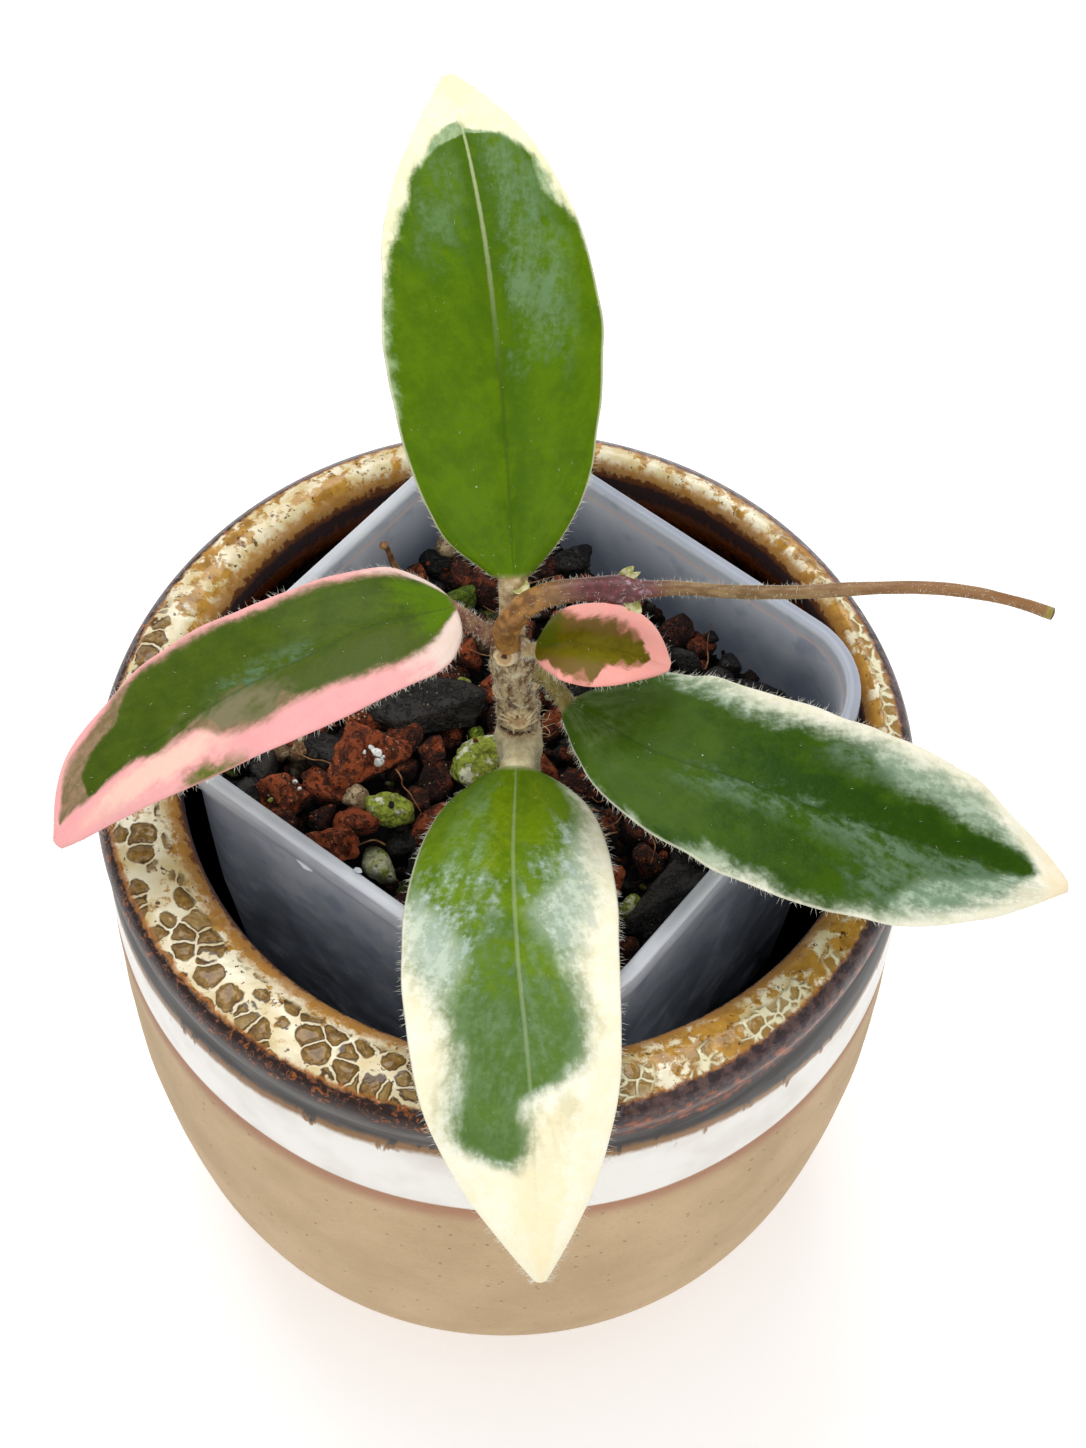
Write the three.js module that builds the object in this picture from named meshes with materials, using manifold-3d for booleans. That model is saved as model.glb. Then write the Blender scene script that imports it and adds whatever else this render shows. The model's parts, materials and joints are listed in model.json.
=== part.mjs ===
// A potted hoya: a young plant with four large leaves in a square nursery pot of grit,
// which stands inside a round stoneware cache pot. Millimetres, +Z up.
// The origin is the centre of the cache pot's flat foot.
import * as THREE from 'three';
import Module from 'manifold-3d';
import { mergeVertices } from 'three/addons/utils/BufferGeometryUtils.js';

const wasm = await Module();
wasm.setup();

// Driving dimensions

const SEAT_GAP = 0.3;            // clearance where one piece rests on or grows from another

const RIM_RADIUS = 62;           // widest circle of the cache pot's rim
const RIM_HEIGHT = 114;          // its height over the foot
const FOOT_RADIUS = 33;
const MOUTH_SHIFT = { x: 2.6, y: 3 };   // the mouth is a little off centre
const INSIDE_FLOOR = 18;
const POT_SIDES = 56;

const NURSERY_CENTRE = { x: 3.3, y: 5 };
const NURSERY_TURN = THREE.MathUtils.degToRad(52);
const NURSERY_TOP = RIM_HEIGHT + 8;
const NURSERY_HALF = 39.9;       // half the outer side at the lip
const NURSERY_FOOT_HALF = 31.2;
const NURSERY_BEND = { height: 80, half: 36.6, corner: 12.4 };   // the taper grows below this
const NURSERY_CORNER = 14.9;     // corner radius at the lip
const NURSERY_FOOT_CORNER = 11;
const NURSERY_WALL = 1.2;
const LIP_DEPTH = 5.5;
const LIP_STEP = 1.5;            // how far the lip stands out from the wall
const DRAIN_RADIUS = 3.2;
const DRAIN_REACH = 15;          // from the middle of the floor to the corner holes

const GRIT_LEVEL = RIM_HEIGHT - 8;
const GRIT_SPACING = 7.8;
const GRIT_SIZES = [3.2, 5.2];   // smallest and largest radius of a grain
const GRIT_SEED = 4173;

const BLADE_THICKNESS = 1.7;
const BLADE_EDGE = 0.7;
const RIB_RELIEF = 0.35;

// Colours and finishes

function finish(colour, roughness, options = {}) {
  return new THREE.MeshStandardMaterial({ color: colour, roughness, metalness: 0, ...options });
}
const FINISHES = {
  stoneware: finish(0xa88d68, 0.6),
  plastic: finish(0xaab2bb, 0.35, { transparent: true, opacity: 0.6 }),
  grit: finish(0x4a261a, 0.9),
  lava: finish(0x7a3520, 0.9),
  charcoal: finish(0x1c1b1e, 0.75),
  pumice: finish(0xb9bf8d, 0.9),
  lime: finish(0x93a81d, 0.8),
  bark: finish(0x9c8c6c, 0.9),
  greenLeaf: finish(0x3f6a16, 0.4),
  creamLeaf: finish(0x9aa36a, 0.4),
  pinkLeaf: finish(0xc08178, 0.45),
  shoot: finish(0x6b4a32, 0.55),
};

// Seeded draws, so that every build is the same

function seededDraw(seed) {
  let state = seed >>> 0;
  return () => {
    state = (Math.imul(state, 1664525) + 1013904223) >>> 0;
    return state / 4294967296;
  };
}

// A value between the ones given at rising stations
function between(stations, values, t) {
  const i = Math.min(stations.findLastIndex((s) => s <= t), stations.length - 2);
  const part = (t - stations[i]) / (stations[i + 1] - stations[i]);
  return THREE.MathUtils.lerp(values[i], values[i + 1], part);
}

// Lofted solids: rings of equal point counts, counter-clockwise about the way they travel

function loft(rings) {
  const count = rings[0].length;
  const positions = rings.flat().flatMap((p) => [p.x, p.y, p.z]);
  const triangles = [];
  for (let i = 0; i + 1 < rings.length; i += 1) {
    for (let j = 0; j < count; j += 1) {
      const a = i * count + j;
      const b = i * count + ((j + 1) % count);
      triangles.push(a, b, b + count, a, b + count, a + count);
    }
  }
  const addCap = (ring, first, flip) => {
    const middle = ring.reduce((sum, p) => sum.add(p), new THREE.Vector3()).divideScalar(count);
    const centre = positions.length / 3;
    positions.push(middle.x, middle.y, middle.z);
    for (let j = 0; j < count; j += 1) {
      const a = first + j;
      const b = first + ((j + 1) % count);
      triangles.push(centre, flip ? b : a, flip ? a : b);
    }
  };
  addCap(rings[0], 0, true);
  addCap(rings.at(-1), (rings.length - 1) * count, false);
  const geometry = new THREE.BufferGeometry();
  geometry.setAttribute('position', new THREE.Float32BufferAttribute(positions, 3));
  geometry.setIndex(triangles);
  return geometry;
}

function toSolid(geometry) {
  const bare = geometry.clone();
  bare.deleteAttribute('normal');
  bare.deleteAttribute('uv');
  const merged = mergeVertices(bare, 1e-4);
  return new wasm.Manifold(new wasm.Mesh({
    numProp: 3,
    vertProperties: new Float32Array(merged.attributes.position.array),
    triVerts: new Uint32Array(merged.index.array),
  }));
}

function toGeometry(solid) {
  const mesh = solid.getMesh();
  const geometry = new THREE.BufferGeometry();
  geometry.setAttribute('position', new THREE.Float32BufferAttribute(mesh.vertProperties, 3));
  geometry.setIndex(Array.from(mesh.triVerts));
  return geometry;
}

// Cutting a piece can leave a loose scrap, and only the piece itself is kept.
function largestPart(solid) {
  return solid.decompose().sort((a, b) => b.volume() - a.volume())[0];
}

function cutClear(geometry, neighbours) {
  const cut = neighbours.reduce((solid, n) => solid.subtract(toSolid(n)), toSolid(geometry));
  return toGeometry(largestPart(cut));
}

// Stoneware cache pot

function circle(radius, z, centre = { x: 0, y: 0 }) {
  return Array.from({ length: POT_SIDES }, (_, j) => {
    const angle = (2 * Math.PI * j) / POT_SIDES;
    return new THREE.Vector3(
      centre.x + radius * Math.cos(angle), centre.y + radius * Math.sin(angle), z);
  });
}

function cachePot() {
  const R = RIM_RADIUS;
  const H = RIM_HEIGHT;
  // Radius and height up the outside, then over the rim
  const outside = [
    [FOOT_RADIUS - 1.5, 0], [FOOT_RADIUS, 0.8], [R - 22, 4.8], [R - 16, 9.4], [R - 11.4, 14.2],
    [R - 7.9, 19.5], [R - 5.4, 26.5], [R - 3.4, 37], [R - 1.2, 54], [R - 0.4, 72], [R - 0.3, H - 22], [R - 0.5, H - 12],
    [R - 1.4, H - 7.5], [R - 0.5, H - 4.5], [R, H - 1.5], [R - 0.8, H + 0.8], [R - 2.8, H + 2],
  ];
  // From the crown of the rim down the inside, round a centre that moves to the mouth's
  const inside = [
    [R - 5.6, H + 2.4, 0.5], [R - 8.2, H + 1.5, 0.8], [R - 9.8, H - 0.8, 1], [R - 10.2, H - 4, 1],
    [R - 9, H - 12, 1], [R - 7.6, H - 40, 0.6], [R - 8, 54, 0.2], [R - 9.4, 36, 0],
    [R - 12.6, INSIDE_FLOOR + 4.5, 0], [R - 15, INSIDE_FLOOR, 0],
  ];
  return loft([
    ...outside.map(([radius, z]) => circle(radius, z)),
    ...inside.map(([radius, z, shift]) => circle(radius, z,
      { x: MOUTH_SHIFT.x * shift, y: MOUTH_SHIFT.y * shift })),
  ]);
}

// Square nursery pot with rounded corners

const CORNER_STEPS = 6;

function roundedSquare(half, corner, z) {
  const ring = [];
  for (let side = 0; side < 4; side += 1) {
    for (let step = 0; step <= CORNER_STEPS; step += 1) {
      const angle = (side + step / CORNER_STEPS) * (Math.PI / 2);
      const middle = (side + 0.5) * (Math.PI / 2);
      const reach = (half - corner) * Math.SQRT2;
      const x = reach * Math.cos(middle) + corner * Math.cos(angle);
      const y = reach * Math.sin(middle) + corner * Math.sin(angle);
      ring.push(nurseryPoint(x, y, z));
    }
  }
  return ring;
}

function nurseryPoint(x, y, z) {
  const c = Math.cos(NURSERY_TURN);
  const s = Math.sin(NURSERY_TURN);
  return new THREE.Vector3(NURSERY_CENTRE.x + c * x - s * y, NURSERY_CENTRE.y + s * x + c * y, z);
}

const NURSERY_FLOOR = INSIDE_FLOOR + SEAT_GAP;

// Half side and corner radius of the tapered wall's outside at a height
function nurseryWall(z) {
  const stages = [
    { height: NURSERY_FLOOR, half: NURSERY_FOOT_HALF, corner: NURSERY_FOOT_CORNER },
    NURSERY_BEND,
    { height: NURSERY_TOP, half: NURSERY_HALF - LIP_STEP, corner: NURSERY_CORNER - LIP_STEP },
  ];
  const heights = stages.map((stage) => stage.height);
  return {
    half: between(heights, stages.map((stage) => stage.half), z),
    corner: between(heights, stages.map((stage) => stage.corner), z),
  };
}

function wallRing(z, inset) {
  const { half, corner } = nurseryWall(z);
  return roundedSquare(half - inset, corner - inset, z);
}

function nurseryPot() {
  const lipFoot = NURSERY_TOP - LIP_DEPTH;
  const shell = loft([
    wallRing(NURSERY_FLOOR, 1),
    wallRing(NURSERY_FLOOR + 1, 0),
    wallRing(NURSERY_BEND.height, 0),
    wallRing(lipFoot - 0.8, 0),
    roundedSquare(NURSERY_HALF - 0.4, NURSERY_CORNER - 0.4, lipFoot),
    roundedSquare(NURSERY_HALF, NURSERY_CORNER, NURSERY_TOP - 0.5),
    roundedSquare(NURSERY_HALF - 0.5, NURSERY_CORNER - 0.5, NURSERY_TOP),
    roundedSquare(NURSERY_HALF - 1.8, NURSERY_CORNER - 1.8, NURSERY_TOP),
    roundedSquare(NURSERY_HALF - 2.2, NURSERY_CORNER - 2.2, NURSERY_TOP - 0.6),
    wallRing(lipFoot + 0.4, NURSERY_WALL - 0.3),
    wallRing(lipFoot - 0.8, NURSERY_WALL),
    wallRing(NURSERY_BEND.height, NURSERY_WALL),
    wallRing(NURSERY_FLOOR + 2.4, NURSERY_WALL),
    wallRing(NURSERY_FLOOR + 1.4, NURSERY_WALL + 1),
  ]);
  return toGeometry(drainHoles().reduce((solid, hole) => solid.subtract(hole), toSolid(shell)));
}

function drainHoles() {
  const places = [[0, 0], [1, 1], [1, -1], [-1, -1], [-1, 1]];
  return places.map(([x, y]) => {
    const hole = new THREE.CylinderGeometry(DRAIN_RADIUS, DRAIN_RADIUS, 10, 12);
    hole.rotateX(Math.PI / 2);
    const at = nurseryPoint(x * DRAIN_REACH, y * DRAIN_REACH, NURSERY_FLOOR);
    hole.translate(at.x, at.y, at.z);
    return toSolid(hole);
  });
}

// Stones and grit

// An angular grain: an icosahedron with its corners pulled in and out by a seeded draw
function grain(seed, centre, radii, turn = 0, grow = 0) {
  const draw = seededDraw(seed);
  const solid = new THREE.IcosahedronGeometry(1, 0);
  solid.deleteAttribute('normal');
  solid.deleteAttribute('uv');
  const geometry = mergeVertices(solid, 1e-4);
  const corner = new THREE.Vector3();
  const { position } = geometry.attributes;
  for (let i = 0; i < position.count; i += 1) {
    corner.fromBufferAttribute(position, i).multiplyScalar(0.82 + 0.34 * draw());
    corner.multiply(new THREE.Vector3(...radii.map((r) => r + grow)));
    position.setXYZ(i, corner.x, corner.y, corner.z);
  }
  geometry.rotateZ(turn);
  geometry.translate(...centre);
  return geometry;
}

// Stones that stand out on the bed: name, finish, centre, radii, turn and seed
const STONES = [
  ['lava_stone_large', 'lava', [-21.8, 3.6, GRIT_LEVEL + 3.2], [5.6, 4.8, 4.6], 0.3, 11],
  ['lava_stone_left', 'lava', [-34, -3.2, GRIT_LEVEL + 2.2], [4.6, 3.9, 3.7], 1.1, 23],
  ['lava_stone_front', 'lava', [-26.2, -11, GRIT_LEVEL + 1.8], [4.1, 3.7, 3.4], 0.6, 37],
  ['charcoal_long', 'charcoal', [-11, 12.6, GRIT_LEVEL + 2.4], [8.6, 4.2, 3.7], -0.12, 41],
  ['charcoal_front', 'charcoal', [24.4, -18.8, GRIT_LEVEL + 2], [7.4, 3.2, 3], 0.75, 53],
  ['pumice_pale', 'pumice', [-5.4, 2.8, GRIT_LEVEL + 3.6], [4.7, 4.3, 4.4], 0.5, 67],
  ['pumice_mossy', 'pumice', [-17.8, -5.2, GRIT_LEVEL + 2.8], [4.1, 3.7, 3.6], 0.9, 71],
  ['pumice_lime', 'lime', [-7.6, 32, GRIT_LEVEL + 3], [3.8, 3.4, 3.3], 0.2, 83],
];

function stone([, , centre, radii, turn, seed], grow = 0) {
  return grain(seed, centre, radii, turn, grow);
}

const BED_BOTTOM = NURSERY_FLOOR + 1.4 + SEAT_GAP;
const BED_INSET = NURSERY_WALL + SEAT_GAP;

// Grains on a turned grid, each moved a little, clear of the walls and of the large stones
function gritGrains() {
  const draw = seededDraw(GRIT_SEED);
  const reach = nurseryWall(GRIT_LEVEL).half - BED_INSET;
  const across = Math.floor(reach / GRIT_SPACING);
  const grains = [];
  for (let row = -across; row <= across; row += 1) {
    for (let column = -across; column <= across; column += 1) {
      const radius = GRIT_SIZES[0] + (GRIT_SIZES[1] - GRIT_SIZES[0]) * draw();
      const limit = reach - radius * 1.16 - 0.3;
      const x = (column + 0.7 * (draw() - 0.5)) * GRIT_SPACING;
      const y = (row + 0.7 * (draw() - 0.5)) * GRIT_SPACING;
      const lift = (draw() - 0.35) * 2.2;
      const turn = draw() * Math.PI;
      const seed = GRIT_SEED + grains.length * 7 + 1;
      const inCorner = Math.hypot(Math.max(Math.abs(x) - limit + 11, 0),
        Math.max(Math.abs(y) - limit + 11, 0)) > 11;
      const at = nurseryPoint(x, y, GRIT_LEVEL + lift);
      const crowded = STONES.some(([, , c, r]) =>
        Math.hypot(c[0] - at.x, c[1] - at.y) < r[1] * 0.7);
      if (!inCorner && !crowded) {
        const radii = [radius, radius * (0.7 + 0.3 * draw()), radius * (0.65 + 0.2 * draw())];
        grains.push(grain(seed, at.toArray(), radii, turn));
      }
    }
  }
  return grains;
}

function substrate(neighbours) {
  const bed = loft([
    wallRing(BED_BOTTOM, BED_INSET + 1.2),
    wallRing(BED_BOTTOM + 3, BED_INSET),
    wallRing(NURSERY_BEND.height, BED_INSET),
    wallRing(GRIT_LEVEL - 0.8, BED_INSET),
    wallRing(GRIT_LEVEL, BED_INSET + 0.8),
  ]);
  const joined = gritGrains().reduce((solid, g) => solid.add(toSolid(g)), toSolid(bed));
  const cleared = neighbours.reduce((solid, n) => solid.subtract(toSolid(n)), joined);
  return toGeometry(largestPart(cleared));
}

// Rods along a curve, for the stem, the runner and the twig: each point is x, y, z, radius

function rod(points, sides, steps, grow = 0) {
  const path = new THREE.CatmullRomCurve3(
    points.map(([x, y, z]) => new THREE.Vector3(x, y, z)), false, 'centripetal');
  const rings = [];
  let side = new THREE.Vector3(1, 0, 0);
  for (let i = 0; i <= steps; i += 1) {
    const t = i / steps;
    const along = path.getTangent(t);
    side = side.sub(along.clone().multiplyScalar(side.dot(along))).normalize();
    const up = new THREE.Vector3().crossVectors(along, side);
    const radius = spread(points.map((p) => p[3]), t) + grow;
    const end = i === 0 ? -grow : (i === steps ? grow : 0);
    const centre = path.getPoint(t).addScaledVector(along, end);
    rings.push(Array.from({ length: sides }, (_, j) => {
      const angle = (2 * Math.PI * j) / sides;
      return centre.clone()
        .addScaledVector(side, radius * Math.cos(angle))
        .addScaledVector(up, radius * Math.sin(angle));
    }));
  }
  return loft(rings);
}

// A value between evenly spread ones
function spread(values, t) {
  const place = Math.min(Math.max(t, 0), 1) * (values.length - 1);
  const i = Math.min(Math.floor(place), values.length - 2);
  return THREE.MathUtils.lerp(values[i], values[i + 1], place - i);
}

const STEM = [
  [2.3, 0.6, GRIT_LEVEL - 22, 2.4], [2.3, 0.5, RIM_HEIGHT - 10, 2.8], [2, 0.9, RIM_HEIGHT - 2, 3],
  [1.7, 2, RIM_HEIGHT + 4, 3.4], [1.5, 2.8, RIM_HEIGHT + 10, 3], [1.2, 3, RIM_HEIGHT + 17, 3.2],
  [0.7, 3, RIM_HEIGHT + 24, 3.3], [0.2, 2.7, RIM_HEIGHT + 29, 2.6],
];
const RUNNER = [
  [0.2, 2.7, RIM_HEIGHT + 28, 1.9], [-0.3, 2.2, RIM_HEIGHT + 33, 1.9],
  [1.8, 2.9, RIM_HEIGHT + 37.5, 1.9], [5.2, 3.9, RIM_HEIGHT + 39.6, 1.85],
  [11.5, 4, RIM_HEIGHT + 41.2, 1.7], [16.6, 3.2, RIM_HEIGHT + 42.2, 2.2],
  [22, 2.4, RIM_HEIGHT + 44, 1.1], [31, 0.6, RIM_HEIGHT + 46, 1],
  [40.6, -0.7, RIM_HEIGHT + 48, 1], [50, -1.3, RIM_HEIGHT + 50, 0.95],
  [58.3, -1.8, RIM_HEIGHT + 51, 0.9], [65.2, -2.7, RIM_HEIGHT + 51, 0.85],
  [70.8, -3.5, RIM_HEIGHT + 50, 0.85], [75.4, -4.2, RIM_HEIGHT + 48.4, 0.9],
];
// The two bud scales at the runner's node stand up and down from it.
const BUDS = [
  [[17.2, 3.4, RIM_HEIGHT + 43.4, 1.2], [18.2, 4, RIM_HEIGHT + 46, 0.6]],
  [[17, 2.8, RIM_HEIGHT + 41.4, 1.2], [18.6, 1.2, RIM_HEIGHT + 39.4, 0.6]],
];
const TWIG = [
  [-19.4, 34.6, RIM_HEIGHT + 7, 0.5], [-18.4, 34.8, RIM_HEIGHT + 3.5, 0.5],
  [-17, 34.2, RIM_HEIGHT - 0.5, 0.55], [-15, 33.4, RIM_HEIGHT - 4.5, 0.6],
  [-13.4, 32, RIM_HEIGHT - 12, 0.5],
];

const stem = (grow = 0) => rod(STEM, 12, 18, grow);
const twig = (grow = 0) => rod(TWIG, 6, 8, grow);
function runner(grow = 0) {
  const buds = BUDS.map((bud) => toSolid(rod(bud, 6, 1, grow)));
  return toGeometry(buds.reduce((solid, bud) => solid.add(bud), toSolid(rod(RUNNER, 8, 40, grow))));
}

// Leaves. Each has its stalk from the stem to the blade, the midrib's points from base to tip,
// and half widths at the fractions of BLADE_STATIONS on the left and right of the midrib.

const BLADE_STATIONS = [0, 0.025, 0.08, 0.18, 0.32, 0.5, 0.68, 0.82, 0.92, 0.98, 1];
const SECTION = [0, 28, 60, 90, 125, 155, 180, 205, 235, 270, 300, 332];
const BLADE_RINGS = 16;

const LEAVES = {
  leaf_back: {
    finish: 'greenLeaf',
    stalk: [[0.2, 3.5, 140], [0.5, 7, 144.5], [0.6, 9.4, 150]],
    stalkRadius: 2,
    midrib: [[0.6, 9.4, 150], [-0.1, 19, 158], [-1.5, 31.8, 167], [-3.7, 48.2, 176],
      [-6.2, 60.6, 181], [-9.5, 73.2, 185]],
    left: [2, 4.6, 9.7, 13.3, 15.6, 16.2, 14.8, 10.7, 5.7, 1.9, 0.5],
    right: [2, 4, 7.6, 11.6, 14.4, 15.7, 13.9, 10.3, 5.8, 2, 0.5],
    camber: 0.03,
  },
  leaf_left: {
    finish: 'pinkLeaf',
    stalk: [[0.5, 3.2, 139.5], [-3.4, 4.8, 142.6], [-8, 6.1, 146]],
    stalkRadius: 1.3,
    midrib: [[-8, 6.1, 146], [-13.1, 3.7, 148], [-19.2, 1.3, 149], [-32.4, -4.9, 147],
      [-40.3, -7.3, 143], [-49.9, -11.2, 138], [-58.5, -15.3, 132], [-64.9, -21.9, 126]],
    left: [2, 4.2, 8.1, 11.1, 11.5, 10.9, 9.2, 7.2, 4.2, 1.7, 0.5],
    right: [2.5, 6, 8.9, 10.5, 11.8, 13.3, 12.4, 9.1, 5.1, 1.9, 0.5],
    camber: 0.04,
  },
  leaf_front: {
    finish: 'creamLeaf',
    stalk: [[1.8, 2, 118.2], [1.8, -2.6, 120.2], [1.3, -7.2, 122]],
    stalkRadius: 2.5,
    midrib: [[1.3, -7.2, 122], [1, -25.3, 128], [1.9, -43, 130], [3.2, -55.1, 128],
      [4.2, -66.5, 123], [4.9, -76.9, 116], [5.4, -82.6, 111]],
    left: [2.8, 6.4, 11, 13.6, 14.9, 14.2, 12.6, 9, 4.8, 1.7, 0.5],
    right: [2.8, 5.6, 9.8, 13.4, 15.9, 16.8, 15.8, 11.2, 5.3, 1.8, 0.5],
    camber: 0.06,
  },
  leaf_right: {
    finish: 'greenLeaf',
    stalk: [[1, 3, 136.5], [5.4, 1.6, 135.4], [9.2, -3.9, 136]],
    stalkRadius: 1.3,
    midrib: [[9.2, -3.9, 136], [14.6, -8.5, 138], [21.1, -13.1, 139], [32.5, -17.4, 139],
      [49.2, -23, 137], [66.9, -26.5, 132], [80.9, -27.4, 126]],
    left: [2, 6.4, 12, 15.4, 15.9, 16.5, 16.2, 13.2, 8, 3, 0.5],
    right: [1.8, 3.2, 6.4, 10.4, 14.4, 15.6, 14.1, 9.7, 4.7, 1.6, 0.5],
    camber: 0.03,
  },
  leaf_small: {
    finish: 'pinkLeaf',
    stalk: [[0.6, 2.2, 140], [2.6, 1.6, 142.6], [4.4, 0.9, 144]],
    stalkRadius: 1,
    midrib: [[4.4, 0.9, 144], [8, 0.4, 146.8], [12, -0.8, 148], [17.6, -2.2, 148],
      [23, -3.6, 146.5]],
    left: [1.4, 3.4, 5, 6.4, 7.3, 7.8, 7.2, 5.6, 3.4, 1.3, 0.5],
    right: [1.4, 2.6, 4, 5.4, 6.8, 7.1, 5.8, 3.8, 2.2, 1, 0.5],
    camber: 0.03,
  },
};

// One ring of a stalk or blade. The section's angle runs from the upper face to the right.
function leafRing(centre, along, size) {
  const right = new THREE.Vector3().crossVectors(along, new THREE.Vector3(0, 0, 1)).normalize();
  const upper = new THREE.Vector3().crossVectors(right, along);
  return SECTION.map((degrees) => {
    const angle = THREE.MathUtils.degToRad(degrees);
    const across = Math.sin(angle);
    const width = across > 0 ? size.right : size.left;
    const onRib = Math.abs(across) < 0.01 ? size.rib * Math.sign(Math.cos(angle)) * -1 : 0;
    const sag = size.camber * width * across * across;
    return centre.clone()
      .addScaledVector(right, across * width)
      .addScaledVector(upper, Math.cos(angle) * size.half + onRib - sag);
  });
}

function leaf(plan, grow = 0) {
  const curve = (points) => new THREE.CatmullRomCurve3(
    points.map((p) => new THREE.Vector3(...p)), false, 'centripetal');
  const stalk = curve(plan.stalk);
  const midrib = curve(plan.midrib);
  const stalkSteps = 4;
  const rings = [];
  for (let i = 0; i < stalkSteps; i += 1) {
    const t = i / stalkSteps;
    const r = plan.stalkRadius + grow;
    const size = { left: r, right: r, half: r, rib: 0, camber: 0 };
    rings.push(leafRing(stalk.getPointAt(t), stalk.getTangentAt(t), size));
  }
  for (let i = 0; i <= BLADE_RINGS; i += 1) {
    // Rings lie closer together towards both ends of the blade.
    const t = 0.5 - 0.5 * Math.cos(Math.PI * (i / BLADE_RINGS));
    const fromStalk = Math.max(0, 1 - t / 0.12);
    const toTip = Math.max(0, (t - 0.9) / 0.1);
    const thick = THREE.MathUtils.lerp(BLADE_THICKNESS / 2, BLADE_EDGE / 2, toTip);
    const size = {
      left: between(BLADE_STATIONS, plan.left, t) + grow,
      right: between(BLADE_STATIONS, plan.right, t) + grow,
      half: THREE.MathUtils.lerp(thick, plan.stalkRadius * 0.8, fromStalk ** 2) + grow,
      rib: RIB_RELIEF * (1 - fromStalk) * (1 - toTip),
      camber: plan.camber,
    };
    rings.push(leafRing(midrib.getPointAt(t), midrib.getTangentAt(t), size));
  }
  return loft(rings);
}

// The whole part

const plant = new THREE.Group();
const holder = new THREE.Group();
const bed = new THREE.Group();

function place(group, name, geometry, finishName) {
  const mesh = new THREE.Mesh(geometry, FINISHES[finishName]);
  mesh.name = name;
  group.add(mesh);
}

place(holder, 'cache_pot', cachePot(), 'stoneware');
place(holder, 'nursery_pot', nurseryPot(), 'plastic');

const sunk = [stem(SEAT_GAP), twig(SEAT_GAP), ...STONES.map((s) => stone(s, SEAT_GAP))];
place(bed, 'substrate', substrate(sunk), 'grit');
STONES.forEach((s) => place(bed, s[0], stone(s), s[1]));
place(bed, 'dry_twig', twig(), 'shoot');

place(plant, 'stem', stem(), 'bark');
place(plant, 'runner', cutClear(runner(), [stem(SEAT_GAP)]), 'shoot');

// Every leaf is cut clear of the stem, the runner and the leaves before it.
const clearOf = [stem(SEAT_GAP), runner(SEAT_GAP)];
for (const [name, plan] of Object.entries(LEAVES)) {
  place(plant, name, cutClear(leaf(plan), clearOf), plan.finish);
  clearOf.push(leaf(plan, SEAT_GAP));
}

const potted_hoya = new THREE.Group();
potted_hoya.add(holder, bed, plant);

export default potted_hoya;
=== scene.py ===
# %% [markdown]
# # A potted hoya lyi
# A young plant with four thick, hairy leaves stands in a square nursery pot of grit, and that
# pot stands in a round stoneware one. The CAD model is loaded first as a fixed frame, because
# every piece made here has to lie where the solid pieces lie.

# %% The frame
import itertools
import json
import math

import bmesh
import bpy
import numpy as np
from mathutils import Matrix, Vector


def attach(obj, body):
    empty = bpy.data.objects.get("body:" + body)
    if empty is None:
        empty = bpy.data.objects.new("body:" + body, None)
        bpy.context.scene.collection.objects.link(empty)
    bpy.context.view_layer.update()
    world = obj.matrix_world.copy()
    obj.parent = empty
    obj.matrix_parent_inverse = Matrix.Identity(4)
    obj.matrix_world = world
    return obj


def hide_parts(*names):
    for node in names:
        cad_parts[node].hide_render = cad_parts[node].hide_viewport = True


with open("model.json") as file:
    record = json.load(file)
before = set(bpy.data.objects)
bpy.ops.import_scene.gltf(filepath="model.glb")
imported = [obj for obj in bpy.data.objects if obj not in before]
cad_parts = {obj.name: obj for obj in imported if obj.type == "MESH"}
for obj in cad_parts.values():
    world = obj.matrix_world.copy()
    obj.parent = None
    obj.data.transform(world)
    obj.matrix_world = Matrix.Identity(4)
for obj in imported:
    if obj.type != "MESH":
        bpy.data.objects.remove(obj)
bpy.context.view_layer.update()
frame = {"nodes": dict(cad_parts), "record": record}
print("CAD nodes:", len(frame["nodes"]))

# %% [markdown]
# ## Measures
# The plan of the plant is kept in millimetres, as a maker would write it down, and only the
# finished points are turned into metres. The heights hang on two values: the rim of the
# round pot, and the level of the grit.

# %% Driving measures
MM = 0.001
RIM = 62.0              # radius of the round pot's rim
TOP = 114.0             # height of the rim's widest circle
GRIT = TOP - 8          # level of the grit
MOUTH = (2.6, 3.0)      # the mouth lies a little off centre
SQUARE_AT = (3.3, 5.0)  # middle of the square pot
SQUARE_TURN = math.radians(52)
SQUARE_TOP = TOP + 8
SQUARE_FOOT = 18.3
STEM_AT = (2.3, 0.6)    # where the stem enters the grit
print("grit level", GRIT, "mm, lip of the square pot", SQUARE_TOP, "mm")

# %% [markdown]
# ## Camera
# The photo looks down at about 58 degrees through a long lens. The place and the three
# directions of the camera come from fitting the rim's ellipse and the square lip to the
# picture, and a matrix sets them exactly, where angles would need rounding.

# %% Camera
scene = bpy.context.scene
forward = np.array([0.01015, 0.52374, -0.85182])
rightward = np.array([0.99990, 0.00293, 0.01371])
upward = np.cross(rightward, forward)
lens = bpy.data.cameras.new("photo_camera")
lens.lens, lens.sensor_width = 87.02, 36
camera = bpy.data.objects.new("photo_camera", lens)
scene.collection.objects.link(camera)
camera.matrix_world = Matrix.Translation((0, -0.27174, 0.56707)) @ Matrix(
    np.stack([rightward, upward, -forward], 1).tolist()).to_4x4()
scene.camera = camera
print("camera height", round(camera.location.z, 3), "m")

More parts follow.
